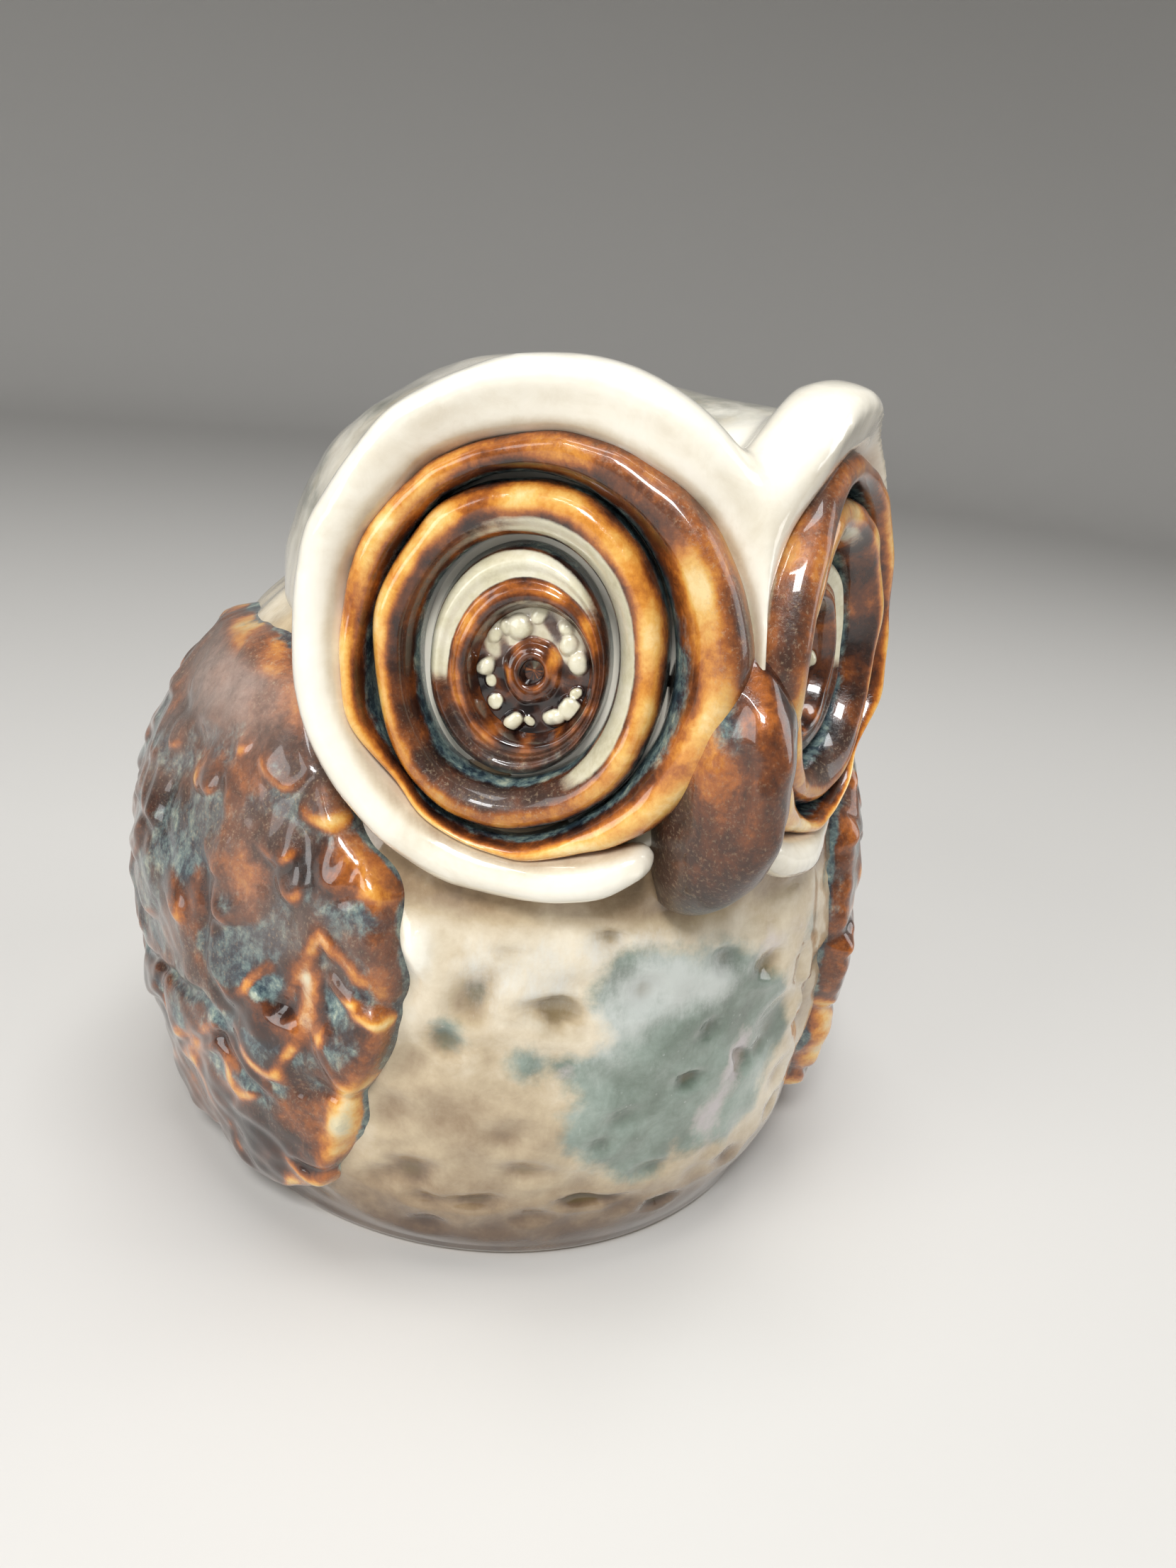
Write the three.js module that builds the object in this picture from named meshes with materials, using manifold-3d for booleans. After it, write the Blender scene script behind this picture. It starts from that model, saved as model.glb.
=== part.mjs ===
// A glazed stoneware owl coin bank, in millimetres. +Z is up, the owl faces -Y, and its own left is +X.
// The origin is on the ground, under the middle of the owl. Each clay part that the potter joins with slip
// is a solid of its own, and so is the cork in the base. Neighbours keep a hairline gap.
import * as THREE from "three";
import { ConvexGeometry } from "three/addons/geometries/ConvexGeometry.js";
import { mergeVertices } from "three/addons/utils/BufferGeometryUtils.js";
import Module from "manifold-3d";

const wasm = await Module();
wasm.setup();

// Driving dimensions
const gap = 0.35; // hairline between the clay parts
const clayWall = 5.5; // thickness of the hollow shells

const pot = {
  centreY: 10.5, // the round body sits behind the face
  halfWidth: 65.4,
  frontDepth: 68,
  backDepth: 65.5,
  widestZ: 47,
  topZ: 116.8,
  footHalfWidth: 56.8,
  lowerRoundness: 3,
  upperRoundness: 2.4,
};
const footHollow = { share: 0.8, depth: 2.5 }; // the glaze-free foot is a flat ring round a shallow hollow
const baseHole = { radius: 17, y: 10.5 };
const cork = { bottomZ: 3.4, length: 17, taper: 1.5, clearance: 0.4 };
const neck = { halfWidth: 29, depth: 27, y: 8, fromZ: 78 }; // opening between the body and the head
const eye = { x: 23.9, y: -49.1, z: 110.7, splay: 34.9, tilt: 4.8 }; // middle of an eye, degrees
const bridge = 0.2; // the coils stop this far from the ridge between the eyes, under the beak
const flat = { halfWidth: 31, halfHeight: 34, back: 7 }; // the flat of the head that carries the eye coils
const crown = { y: 7, z: 107, halfWidth: 46, depth: 47, halfHeight: 40 }; // the round back of the head
// The cream coil: its centre line, its half-thickness at the side, brow and lower lip, and its two ends
// in degrees
const rim = { halfWidth: 31.4, halfHeight: 33.8, side: 2.5, brow: 4, lip: 3.3, from: -127, to: 143 };
const rimRise = { middle: -1.8, half: 6.2 };
const outerCoil = { halfWidth: 28.2, halfHeight: 29.2, height: 10 };
// Inside the outer coil all lies a little outwards (x) and down (y) from the middle of the eye
const innerCoil = { x: 3.2, y: -1.7, halfWidth: 21, halfHeight: 24.8, height: 8.6 };
const socket = { x: 4.2, y: -2.3, halfWidth: 14.6, halfHeight: 18.2 };
const disc = { x: 4.2, y: -2.5, halfWidth: 13.4, halfHeight: 17, height: 5.4, lean: 1 };
const recess = { x: 2.4, y: -3.6, radius: 9.2, lean: 0.6, depth: 3.6 };
const rosette = { beads: 12, reach: 6.8, beadRadius: 1.4, hole: 2, height: 2.2 };
const slot = { width: 36, height: 5.6, z: 122, cornerRadius: 2.7, fromY: 30 };
const wing = { thickness: 5.1, sunk: 2, rows: 12, columns: 14 }; // sunk: cut away again by the pot
const overlap = 0.05; // the halves of the head pass each other by this much, to be joined
const facets = { levels: 14, sides: 40, innerLevels: 9, innerSides: 28 }; // of the round body
const roomy = 300; // the side of a block that is larger than the owl

const glaze = {
  cream: new THREE.MeshStandardMaterial({ color: 0xd9cbb0, roughness: 0.25 }),
  belly: new THREE.MeshStandardMaterial({ color: 0xb7ab93, roughness: 0.25 }),
  amber: new THREE.MeshStandardMaterial({ color: 0xa35a1c, roughness: 0.25 }),
  brown: new THREE.MeshStandardMaterial({ color: 0x4a2a1a, roughness: 0.3 }),
};
const corkBark = new THREE.MeshStandardMaterial({ color: 0xb98a5a, roughness: 0.9 });
const degrees = THREE.MathUtils.degToRad;

// A manifold solid from a closed three.js geometry, turned the right way out
function solidOf(geometry) {
  const bare = geometry.clone();
  bare.deleteAttribute("normal");
  bare.deleteAttribute("uv");
  const merged = mergeVertices(bare, 1e-4);
  const vertProperties = merged.attributes.position.array;
  const triVerts = new Uint32Array(merged.index.array);
  const made = new wasm.Manifold(new wasm.Mesh({ numProp: 3, vertProperties, triVerts }));
  if (made.volume() > 0) return made;
  return new wasm.Manifold(new wasm.Mesh({ numProp: 3, vertProperties, triVerts: triVerts.reverse() }));
}

function geometryOf(solid) {
  const mesh = solid.getMesh();
  const geometry = new THREE.BufferGeometry();
  geometry.setAttribute("position", new THREE.BufferAttribute(new Float32Array(mesh.vertProperties), 3));
  geometry.setIndex(new THREE.BufferAttribute(new Uint32Array(mesh.triVerts), 1));
  geometry.computeVertexNormals();
  return geometry;
}

// A closed skin over rings of points that all run the same way round, with a cap at each end
function skinOf(rings) {
  const count = rings[0].length;
  const middleOf = (ring) => ring.reduce((sum, p) => sum.add(p), new THREE.Vector3()).divideScalar(count);
  const points = [...rings.flat(), middleOf(rings[0]), middleOf(rings.at(-1))];
  const lastRing = (rings.length - 1) * count;
  const faces = [];
  for (let j = 0; j < count; j++) {
    const k = (j + 1) % count;
    for (let i = 0; i < lastRing; i += count) {
      faces.push(i + j, i + k, i + count + k, i + j, i + count + k, i + count + j);
    }
    faces.push(points.length - 2, k, j);
    faces.push(points.length - 1, lastRing + j, lastRing + k);
  }
  const geometry = new THREE.BufferGeometry().setFromPoints(points);
  geometry.setIndex(faces);
  return geometry;
}

// The round body: its half-width at a height, and its surface at a turn from the front (0) round to
// the back (180)
function potHalfWidth(z) {
  const { widestZ, topZ, halfWidth, footHalfWidth, lowerRoundness, upperRoundness } = pot;
  if (z < widestZ) return halfWidth - (halfWidth - footHalfWidth) * (1 - z / widestZ) ** lowerRoundness;
  const up = (z - widestZ) / (topZ - widestZ);
  return halfWidth * (1 - up ** upperRoundness) ** (1 / upperRoundness);
}

function potPoint(turn, z, across) {
  const a = degrees(turn);
  const depth = Math.cos(a) > 0 ? pot.frontDepth : pot.backDepth;
  const along = (across * depth) / pot.halfWidth;
  return new THREE.Vector3(across * Math.sin(a), pot.centreY - along * Math.cos(a), z);
}

// The pot's outside grown by an amount, or its inside when the amount is negative
function potSolid(grow, bottomZ, levels, sides) {
  const shrink = (pot.topZ + grow) / pot.topZ;
  const topZ = pot.topZ * shrink;
  const rings = [];
  for (let i = 0; i <= levels; i++) {
    const share = Math.sin(((i / levels) * Math.PI) / 2);
    const z = bottomZ + (topZ - bottomZ) * Math.min(share, 0.998);
    const across = Math.max(potHalfWidth(Math.max(z, 0) / shrink) + grow, 1);
    rings.push(Array.from({ length: sides }, (_, j) => potPoint((j * 360) / sides, z, across)));
  }
  return solidOf(skinOf(rings));
}

// An eye's own frame: +X to the owl's left, +Y up the face, +Z straight out of the eye
function eyeFrame(side) {
  const frame = new THREE.Object3D();
  frame.position.set(side * eye.x, eye.y, eye.z);
  frame.rotation.set(degrees(90 - eye.tilt), 0, degrees(side * eye.splay), "ZYX");
  frame.updateMatrixWorld();
  return frame.matrixWorld;
}

// All that lies on the other side of the middle of the owl, and within a reach of it on this side
function otherSideOf(side, reach) {
  const block = new THREE.BoxGeometry(roomy, roomy, roomy);
  return solidOf(block.translate(-side * (roomy / 2 - reach), 0, 0));
}

// The head: on each side the flat under the eye coils, in one hull with the round crown
function headHalf(side, grow) {
  const points = [];
  for (let j = 0; j < 36; j++) {
    const a = (j / 36) * 2 * Math.PI;
    const [x, y] = [(flat.halfWidth + grow) * Math.cos(a), (flat.halfHeight + grow) * Math.sin(a)];
    points.push(new THREE.Vector3(x, y, grow - flat.back).applyMatrix4(eyeFrame(side)));
  }
  const ball = new THREE.SphereGeometry(1, 24, 14);
  ball.scale(crown.halfWidth + grow, crown.depth + grow, crown.halfHeight + grow);
  ball.translate(0, crown.y, crown.z);
  const at = ball.getAttribute("position");
  for (let i = 0; i < at.count; i++) points.push(new THREE.Vector3().fromBufferAttribute(at, i));
  return solidOf(new ConvexGeometry(points)).subtract(otherSideOf(side, -overlap));
}

function headSolid(grow) {
  return headHalf(-1, grow).add(headHalf(1, grow));
}

// The slot has round ends and runs straight in from the back of the head.
function coinSlot() {
  const r = slot.cornerRadius;
  const [w, h] = [slot.width / 2 - r, slot.height / 2 - r];
  const outline = new THREE.Shape();
  [[w, h], [-w, h], [-w, -h], [w, -h]].forEach(([x, y], i) => {
    outline.absarc(x, y, r, (i * Math.PI) / 2, ((i + 1) * Math.PI) / 2);
  });
  const cut = new THREE.ExtrudeGeometry(outline, { depth: 40, bevelEnabled: false, curveSegments: 4 });
  return solidOf(cut.rotateX(-Math.PI / 2).translate(0, slot.fromY, slot.z));
}

// The half-round coil over the brow and down round the outside of an eye, with tapered ends
function rimSolid(side, grow) {
  const [steps, corners] = [30, 10];
  const rings = [];
  for (let i = 0; i <= steps; i++) {
    const along = i / steps;
    const a = degrees(rim.from + (rim.to - rim.from) * along);
    const taper = Math.max(1 - Math.abs(2 * along - 1) ** 14, 0.1) ** 0.5;
    const up = Math.sin(a);
    const wide = rim.side + (up > 0 ? rim.brow - rim.side : rim.lip - rim.side) * Math.abs(up);
    const ring = [];
    for (let j = 0; j < corners; j++) {
      const b = (j / corners) * 2 * Math.PI;
      const out = (wide * taper + grow) * Math.cos(b);
      const high = rimRise.middle + (rimRise.half * taper + grow) * Math.sin(b);
      const across = (rim.halfWidth + out) * Math.cos(a) * side;
      const p = new THREE.Vector3(across, (rim.halfHeight + out) * up, high);
      ring.push(p.applyMatrix4(eyeFrame(side)));
    }
    rings.push(ring);
  }
  return solidOf(skinOf(rings)).subtract(headSolid(gap + 0.01));
}

// A coil with a flat bottom and a round top, between an inner and an outer ellipse of the eye's frame
function coilSolid(side, inner, outer, height, grow) {
  const section = [];
  for (let i = 0; i <= 6; i++) {
    const a = (i / 6) * Math.PI;
    section.push(new THREE.Vector2(1.5 - Math.cos(a) / 2, height * (0.5 + 0.5 * Math.sin(a)) + grow));
  }
  section.push(new THREE.Vector2(2, 0), new THREE.Vector2(1, 0), section[0].clone());
  const ring = new THREE.LatheGeometry(section, 36);
  const at = ring.getAttribute("position");
  for (let i = 0; i < at.count; i++) {
    const a = Math.atan2(at.getZ(i), at.getX(i));
    const share = Math.hypot(at.getX(i), at.getZ(i)) - 1;
    const between = (near, far) => near + (far - near) * share;
    const acrossBy = between(inner.halfWidth - grow, outer.halfWidth + grow);
    const upBy = between(inner.halfHeight - grow, outer.halfHeight + grow);
    const x = between(inner.x, outer.x) + acrossBy * Math.cos(a);
    const y = between(inner.y, outer.y) + upBy * Math.sin(a);
    at.setXYZ(i, x * side, y, at.getY(i) - flat.back + gap - grow);
  }
  return solidOf(ring.applyMatrix4(eyeFrame(side)));
}

function outerRing(side, grow) {
  const { x, y, halfWidth, halfHeight } = innerCoil;
  const inner = { x, y, halfWidth: halfWidth + gap, halfHeight: halfHeight + gap };
  return coilSolid(side, inner, { x: 0, y: 0, ...outerCoil }, outerCoil.height, grow);
}

function innerRing(side) {
  return coilSolid(side, socket, innerCoil, innerCoil.height, 0);
}

// The raised ring in the socket, a low oval drum with a round recess
function eyeDisc(side) {
  const drum = new THREE.CylinderGeometry(disc.halfWidth - disc.lean, disc.halfWidth, disc.height, 36);
  drum.rotateX(Math.PI / 2).scale(1, disc.halfHeight / disc.halfWidth, 1);
  drum.translate(side * disc.x, disc.y, disc.height / 2 + gap - flat.back);
  const { radius, lean, depth } = recess;
  const hollow = new THREE.CylinderGeometry(radius, radius - lean, 2 * depth, 32).rotateX(Math.PI / 2);
  hollow.translate(side * recess.x, recess.y, disc.height + gap - flat.back);
  const place = eyeFrame(side);
  return solidOf(drum.applyMatrix4(place)).subtract(solidOf(hollow.applyMatrix4(place)));
}

// The rosette of beads lies in the recess round a hole.
function pupil(side) {
  const outline = new THREE.Shape();
  for (let i = 0; i < rosette.beads; i++) {
    const turn = (i / rosette.beads) * 2 * Math.PI;
    const [x, y] = [rosette.reach * Math.cos(turn), rosette.reach * Math.sin(turn)];
    outline.absarc(x, y, rosette.beadRadius, turn - Math.PI / 2, turn + Math.PI / 2);
  }
  outline.closePath();
  outline.holes.push(new THREE.Path().absarc(0, 0, rosette.hole, 0, 2 * Math.PI, true));
  const thickness = { depth: rosette.height, bevelEnabled: false, curveSegments: 4 };
  const plate = new THREE.ExtrudeGeometry(outline, thickness);
  const floor = disc.height - recess.depth + 2 * gap - flat.back;
  return solidOf(plate.translate(side * recess.x, recess.y, floor).applyMatrix4(eyeFrame(side)));
}

// The beak hangs between the eyes: half-width and foremost point at each height, from the bridge to the tip
const beakBackY = -50;
const beakSections = [
  [119, 2.4, -66],
  [114, 4.6, -69.5],
  [108, 6.8, -72.5],
  [102, 8.6, -74.6],
  [96, 9.4, -76],
  [88, 8.9, -75],
  [81, 7.6, -71],
  [75.5, 5.8, -65.5],
  [71.5, 2.8, -58.5],
];

function beakSolid(grow) {
  const points = [];
  for (const [z, halfWidth, frontY] of beakSections) {
    for (let j = 0; j <= 10; j++) {
      const a = (j / 10) * Math.PI;
      const reach = frontY - beakBackY - grow;
      points.push(new THREE.Vector3((halfWidth + grow) * Math.cos(a), beakBackY + reach * Math.sin(a), z));
    }
  }
  return solidOf(new ConvexGeometry(points));
}

// The wings follow the pot between a front and a back edge: turn from the front, and height
function edgeOf(points) {
  return new THREE.CatmullRomCurve3(points.map(([turn, z]) => new THREE.Vector3(turn, z, 0)));
}
const wingFront = edgeOf([
  [58, 9], [47, 24], [39.5, 42], [36.5, 60], [39, 73], [48, 84], [62, 96], [76, 102],
]);
const wingBack = edgeOf([
  [84, 9], [110, 20], [132, 36], [142, 54], [140, 72], [130, 86], [112, 96], [96, 100],
]);

function wingSolid(side) {
  const { rows, columns, thickness, sunk } = wing;
  const rings = [];
  for (let i = 0; i <= rows; i++) {
    const [front, back] = [wingFront.getPoint(i / rows), wingBack.getPoint(i / rows)];
    const point = (j, outer) => {
      const share = j / columns;
      const spot = front.clone().lerp(back, share);
      const edge = Math.min(1, 0.45 + 5 * Math.min(share, 1 - share, i / rows, 1 - i / rows));
      const across = potHalfWidth(spot.y) + (outer ? gap + thickness * edge : -sunk);
      const p = potPoint(spot.x, spot.y, across);
      return p.setX(side * p.x);
    };
    const across = [...Array(columns + 1).keys()];
    rings.push([...across.map((j) => point(j, true)), ...across.reverse().map((j) => point(j, false))]);
  }
  return solidOf(skinOf(rings));
}

// The cork narrows inwards, and its wide end stays clear of the ground.
function corkSolid() {
  const wide = baseHole.radius - cork.clearance;
  const plug = new THREE.CylinderGeometry(wide - cork.taper, wide, cork.length, 36).rotateX(Math.PI / 2);
  return plug.translate(0, baseHole.y, cork.bottomZ + cork.length / 2);
}

// An upright round cut, by its radii across and front to back, its middle and its two heights
function roundCut(halfWidth, depth, y, low, high) {
  const cut = new THREE.CylinderGeometry(1, 1, high - low, 36).rotateX(Math.PI / 2);
  return solidOf(cut.scale(halfWidth, depth, 1).translate(0, y, (low + high) / 2));
}

function allBelow(z) {
  return solidOf(new THREE.BoxGeometry(roomy, roomy, roomy).translate(0, 0, z - roomy / 2));
}

// The shells
const potFull = potSolid(0, 0, facets.levels, facets.sides);
const potAndGap = potSolid(gap, 0, facets.levels, facets.sides);
const floorTop = footHollow.depth + clayWall;
const potRoom = potSolid(-clayWall, floorTop - 2, facets.innerLevels, facets.innerSides);
const footReach = pot.footHalfWidth * footHollow.share;
const baseSlab = potFull
  .intersect(allBelow(floorTop))
  .subtract(roundCut(baseHole.radius, baseHole.radius, baseHole.y, -1, floorTop + 1))
  .subtract(roundCut(footReach, footReach, pot.centreY, -1, footHollow.depth));
const bodyShell = potFull
  .subtract(allBelow(floorTop + gap))
  .subtract(potRoom)
  .subtract(roundCut(neck.halfWidth, neck.depth, neck.y, neck.fromZ, pot.topZ + 1));
const headShell = headSolid(0)
  .subtract(headSolid(-clayWall))
  .subtract(potAndGap)
  .subtract(coinSlot());

const owl = new THREE.Group();
function add(name, geometry, material) {
  const mesh = new THREE.Mesh(geometry, material);
  mesh.name = name;
  owl.add(mesh);
}

add("base_slab", geometryOf(baseSlab), glaze.belly);
add("body_shell", geometryOf(bodyShell), glaze.belly);
add("head_shell", geometryOf(headShell), glaze.cream);
add("beak", geometryOf(beakSolid(0).subtract(headSolid(gap)).subtract(potAndGap)), glaze.brown);
for (const [side, name] of [[-1, "right"], [1, "left"]]) {
  const clearance = beakSolid(gap).add(otherSideOf(side, bridge)).add(potAndGap);
  const trimmed = (solid) => solid.subtract(clearance);
  add(`face_rim_${name}`, geometryOf(trimmed(rimSolid(side, 0))), glaze.cream);
  add(`eye_outer_ring_${name}`, geometryOf(trimmed(outerRing(side, 0))), glaze.amber);
  add(`eye_inner_ring_${name}`, geometryOf(trimmed(innerRing(side))), glaze.amber);
  add(`eye_disc_${name}`, geometryOf(eyeDisc(side)), glaze.cream);
  add(`pupil_${name}`, geometryOf(pupil(side)), glaze.amber);
  const headAndRim = headSolid(gap).add(rimSolid(side, gap));
  add(`wing_${name}`, geometryOf(wingSolid(side).subtract(potAndGap).subtract(headAndRim)), glaze.brown);
}
add("stopper", corkSolid(), corkBark);

export default owl;
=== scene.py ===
# A glazed stoneware owl coin bank: its fine shapes and glazes, laid over the plain model.
import math
import bpy
import numpy as np
from mathutils import Matrix, Vector


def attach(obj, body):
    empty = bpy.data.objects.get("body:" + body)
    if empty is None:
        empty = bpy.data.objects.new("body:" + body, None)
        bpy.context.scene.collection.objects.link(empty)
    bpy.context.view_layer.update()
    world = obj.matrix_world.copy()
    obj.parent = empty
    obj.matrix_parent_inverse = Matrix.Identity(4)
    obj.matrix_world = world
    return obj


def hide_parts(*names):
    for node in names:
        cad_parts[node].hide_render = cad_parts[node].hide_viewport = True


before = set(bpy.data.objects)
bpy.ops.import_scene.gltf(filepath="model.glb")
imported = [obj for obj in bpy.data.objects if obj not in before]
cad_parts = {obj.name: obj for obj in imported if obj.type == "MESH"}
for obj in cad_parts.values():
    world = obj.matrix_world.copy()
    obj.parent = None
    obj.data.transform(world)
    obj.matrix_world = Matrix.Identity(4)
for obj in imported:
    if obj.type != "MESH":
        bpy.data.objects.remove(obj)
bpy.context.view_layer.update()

mm = 0.001  # shapes are worked out in millimetres and stored in metres
bothSides = ((-1, "right"), (1, "left"))  # the owl's own


# ---- small tools for modelling ----
def deselect():
    if bpy.context.object and bpy.context.object.mode != "OBJECT":
        bpy.ops.object.mode_set(mode="OBJECT")
    bpy.ops.object.select_all(action="DESELECT")


def pick(*pieces):
    deselect()
    for piece in pieces:
        piece.select_set(True)
    bpy.context.view_layer.objects.active = pieces[0]


def start(name, addPrimitive, **settings):
    deselect()
    addPrimitive(**settings)
    piece = bpy.context.object
    piece.name = name
    piece.data.name = name
    return piece


def pointsOf(piece):
    flat = np.zeros(len(piece.data.vertices) * 3, np.float32)
    piece.data.vertices.foreach_get("co", flat)
    return flat.reshape(-1, 3).astype(float)


def movePoints(piece, x, y, z):
    moved = np.stack([x, y, z], 1) * mm
    piece.data.vertices.foreach_set("co", moved.astype(np.float32).ravel())
    piece.data.update()


def mark(piece, **fields):
    # soft values kept on the vertices, for the glazes to read
    for name, values in fields.items():
        layer = piece.data.attributes.get(name) or piece.data.attributes.new(name, "FLOAT", "POINT")
        layer.data.foreach_set("value", np.clip(values, -9, 9).astype(np.float32))


def modify(piece, kind, **settings):
    pick(piece)
    modifier = piece.modifiers.new(kind.lower(), kind)
    for key, value in settings.items():
        setattr(modifier, key, value)
    bpy.ops.object.modifier_apply(modifier=modifier.name)


def editing(piece, *steps):
    pick(piece)
    bpy.ops.object.mode_set(mode="EDIT")
    for step in steps:
        step()
    bpy.ops.object.mode_set(mode="OBJECT")


def selectFaces(piece, chosen):
    deselect()
    bpy.context.view_layer.objects.active = piece
    bpy.ops.object.mode_set(mode="EDIT")
    bpy.ops.mesh.select_mode(type="FACE")
    bpy.ops.mesh.select_all(action="DESELECT")
    bpy.ops.object.mode_set(mode="OBJECT")
    for face in piece.data.polygons:
        face.select = bool(chosen(face))


def fixNormals():
    bpy.ops.mesh.select_all(action="SELECT")
    bpy.ops.mesh.remove_doubles(threshold=1e-6)
    bpy.ops.mesh.normals_make_consistent(inside=False)


def finishPiece(piece, finish, nodes, body="bank"):
    editing(piece, fixNormals)
    pick(piece)
    bpy.ops.object.shade_smooth()
    piece.data.materials.clear()
    piece.data.materials.append(finish)
    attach(piece, body)
    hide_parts(*nodes)
    return piece


# ---- soft curves and swells ----
def ease(low, high, x):
    share = np.clip((x - low) / (high - low), 0, 1)
    return share * share * (3 - 2 * share)


def swell(x, y, z, size, seed, waves=9):
    draw = np.random.default_rng(seed)
    total = 0
    for _ in range(waves):
        way = draw.normal(size=3)
        way *= 2 * np.pi / (size * draw.uniform(0.8, 1.7) * np.linalg.norm(way))
        total = total + np.sin(x * way[0] + y * way[1] + z * way[2] + draw.uniform(0, 2 * np.pi))
    return total / math.sqrt(waves)


def curve(at, places, values):
    # a smooth line through a few points
    places, values = np.array(places, float), np.array(values, float)
    slopes = np.gradient(values, places)
    at = np.clip(at, places[0], places[-1])
    i = np.clip(np.searchsorted(places, at) - 1, 0, len(places) - 2)
    span = places[i + 1] - places[i]
    t = (at - places[i]) / span
    near = (1 + 2 * t) * (1 - t) ** 2 * values[i] + t * (1 - t) ** 2 * span * slopes[i]
    far = t * t * (3 - 2 * t) * values[i + 1] + t * t * (t - 1) * span * slopes[i + 1]
    return near + far


def softMax(a, b, reach):
    blend = np.clip(0.5 + 0.5 * (a - b) / reach, 0, 1)
    return b + (a - b) * blend + reach * blend * (1 - blend)


def shareAlong(x, y, ax, ay, bx, by):
    # how far along the line from a to b its nearest spot is
    return np.clip(((x - ax) * (bx - ax) + (y - ay) * (by - ay)) / ((bx - ax) ** 2 + (by - ay) ** 2), 0, 1)


def startRing(name, segments, sides):
    # a ring to shape, with the angles along it and round its section
    major, minor = 1.0, 0.5
    ring = start(name, bpy.ops.mesh.primitive_torus_add, major_segments=segments, minor_segments=sides,
                 major_radius=major, minor_radius=minor)
    x, y, z = pointsOf(ring).T
    return ring, np.arctan2(y, x), np.arctan2(z / minor, (np.hypot(x, y) - major) / minor)


# ---- glaze recipes: shader sums are written as sums ----
class Wire:
    # a socket that can be added to, multiplied and compared
    def __init__(self, tree, socket):
        self.tree = tree
        self.socket = socket

    def node(self, kind, settings=None, inputs=None, output=0):
        made = self.tree.nodes.new("ShaderNode" + kind)
        for key, value in (settings or {}).items():
            if key == "stops":
                fillRamp(made.color_ramp, value)
            else:
                setattr(made, key, value)
        for key, value in (inputs or {}).items():
            if isinstance(value, Wire):
                self.tree.links.new(value.socket, made.inputs[key])
            else:
                made.inputs[key].default_value = value
        return Wire(self.tree, made.outputs[output])

    def sum(self, operation, first, second):
        return self.node("Math", {"operation": operation}, {0: first, 1: second})

    def __add__(self, other):
        return self.sum("ADD", self, other)

    __radd__ = __add__

    def __sub__(self, other):
        return self.sum("SUBTRACT", self, other)

    def __rsub__(self, other):
        return self.sum("SUBTRACT", other, self)

    def __mul__(self, other):
        return self.sum("MULTIPLY", self, other)

    __rmul__ = __mul__

    def attribute(self, name):
        return self.node("Attribute", {"attribute_name": name}, output=2)

    def noise(self, scale, detail=4.0, roughness=0.55, distortion=0.0):
        # scale is in lumps per metre, and the answer runs from about -1 to 1
        inputs = {"Vector": self, "Scale": scale, "Detail": detail, "Roughness": roughness,
                  "Distortion": distortion}
        return (self.node("TexNoise", None, inputs) - 0.5) * 3.2

    def cells(self, scale, output=0, feature="F1"):
        return self.node("TexVoronoi", {"feature": feature}, {"Vector": self, "Scale": scale}, output)

    def fade(self, low, high):
        settings = {"interpolation_type": "SMOOTHSTEP"}
        return self.node("MapRange", settings, {"Value": self, "From Min": low, "From Max": high})

    def colours(self, *stops):
        return self.node("ValToRGB", {"stops": stops}, {0: self})

    def paint(self, under, over):
        # over shows where this value is 1
        return self.node("Mix", {"data_type": "RGBA"}, {0: self, 6: under, 7: over}, 2)

    def stretch(self, x, y, z):
        return self.node("VectorMath", {"operation": "MULTIPLY"}, {0: self, 1: (x, y, z)})


def fillRamp(ramp, stops):
    while len(ramp.elements) < len(stops):
        ramp.elements.new(0.5)
    for element, (place, colour) in zip(ramp.elements, sorted(stops, key=lambda stop: stop[0])):
        element.position = place
        element.color = colour


def tint(red, green, blue):
    # a paint-chart colour, 0 to 255, as the shader's linear one
    return (*[((c / 255 + 0.055) / 1.055) ** 2.4 if c > 10 else c / 3295 for c in (red, green, blue)], 1.0)


def glazed(name, recipe, gloss=0.05, bumpy=0.3):
    # recipe gives colour, roughness, a height for the bump, and how glassy the skin is
    made = bpy.data.materials.new(name)
    made.use_nodes = True
    tree = made.node_tree
    shader = tree.nodes["Principled BSDF"]
    place = Wire(tree, tree.nodes.new("ShaderNodeTexCoord").outputs["Object"])
    colour, rough, height, glass = recipe(place)
    bump = place.node("Bump", None, {"Height": height, "Distance": 0.0006, "Strength": bumpy})
    tree.links.new(colour.socket, shader.inputs["Base Color"])
    tree.links.new(rough.socket, shader.inputs["Roughness"])
    tree.links.new(bump.socket, shader.inputs["Normal"])
    if isinstance(glass, Wire):
        tree.links.new(glass.socket, shader.inputs["Coat Weight"])
    else:
        shader.inputs["Coat Weight"].default_value = glass
    shader.inputs["Coat Roughness"].default_value = gloss
    shader.inputs["Specular IOR Level"].default_value = 0.3
    return made


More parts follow.
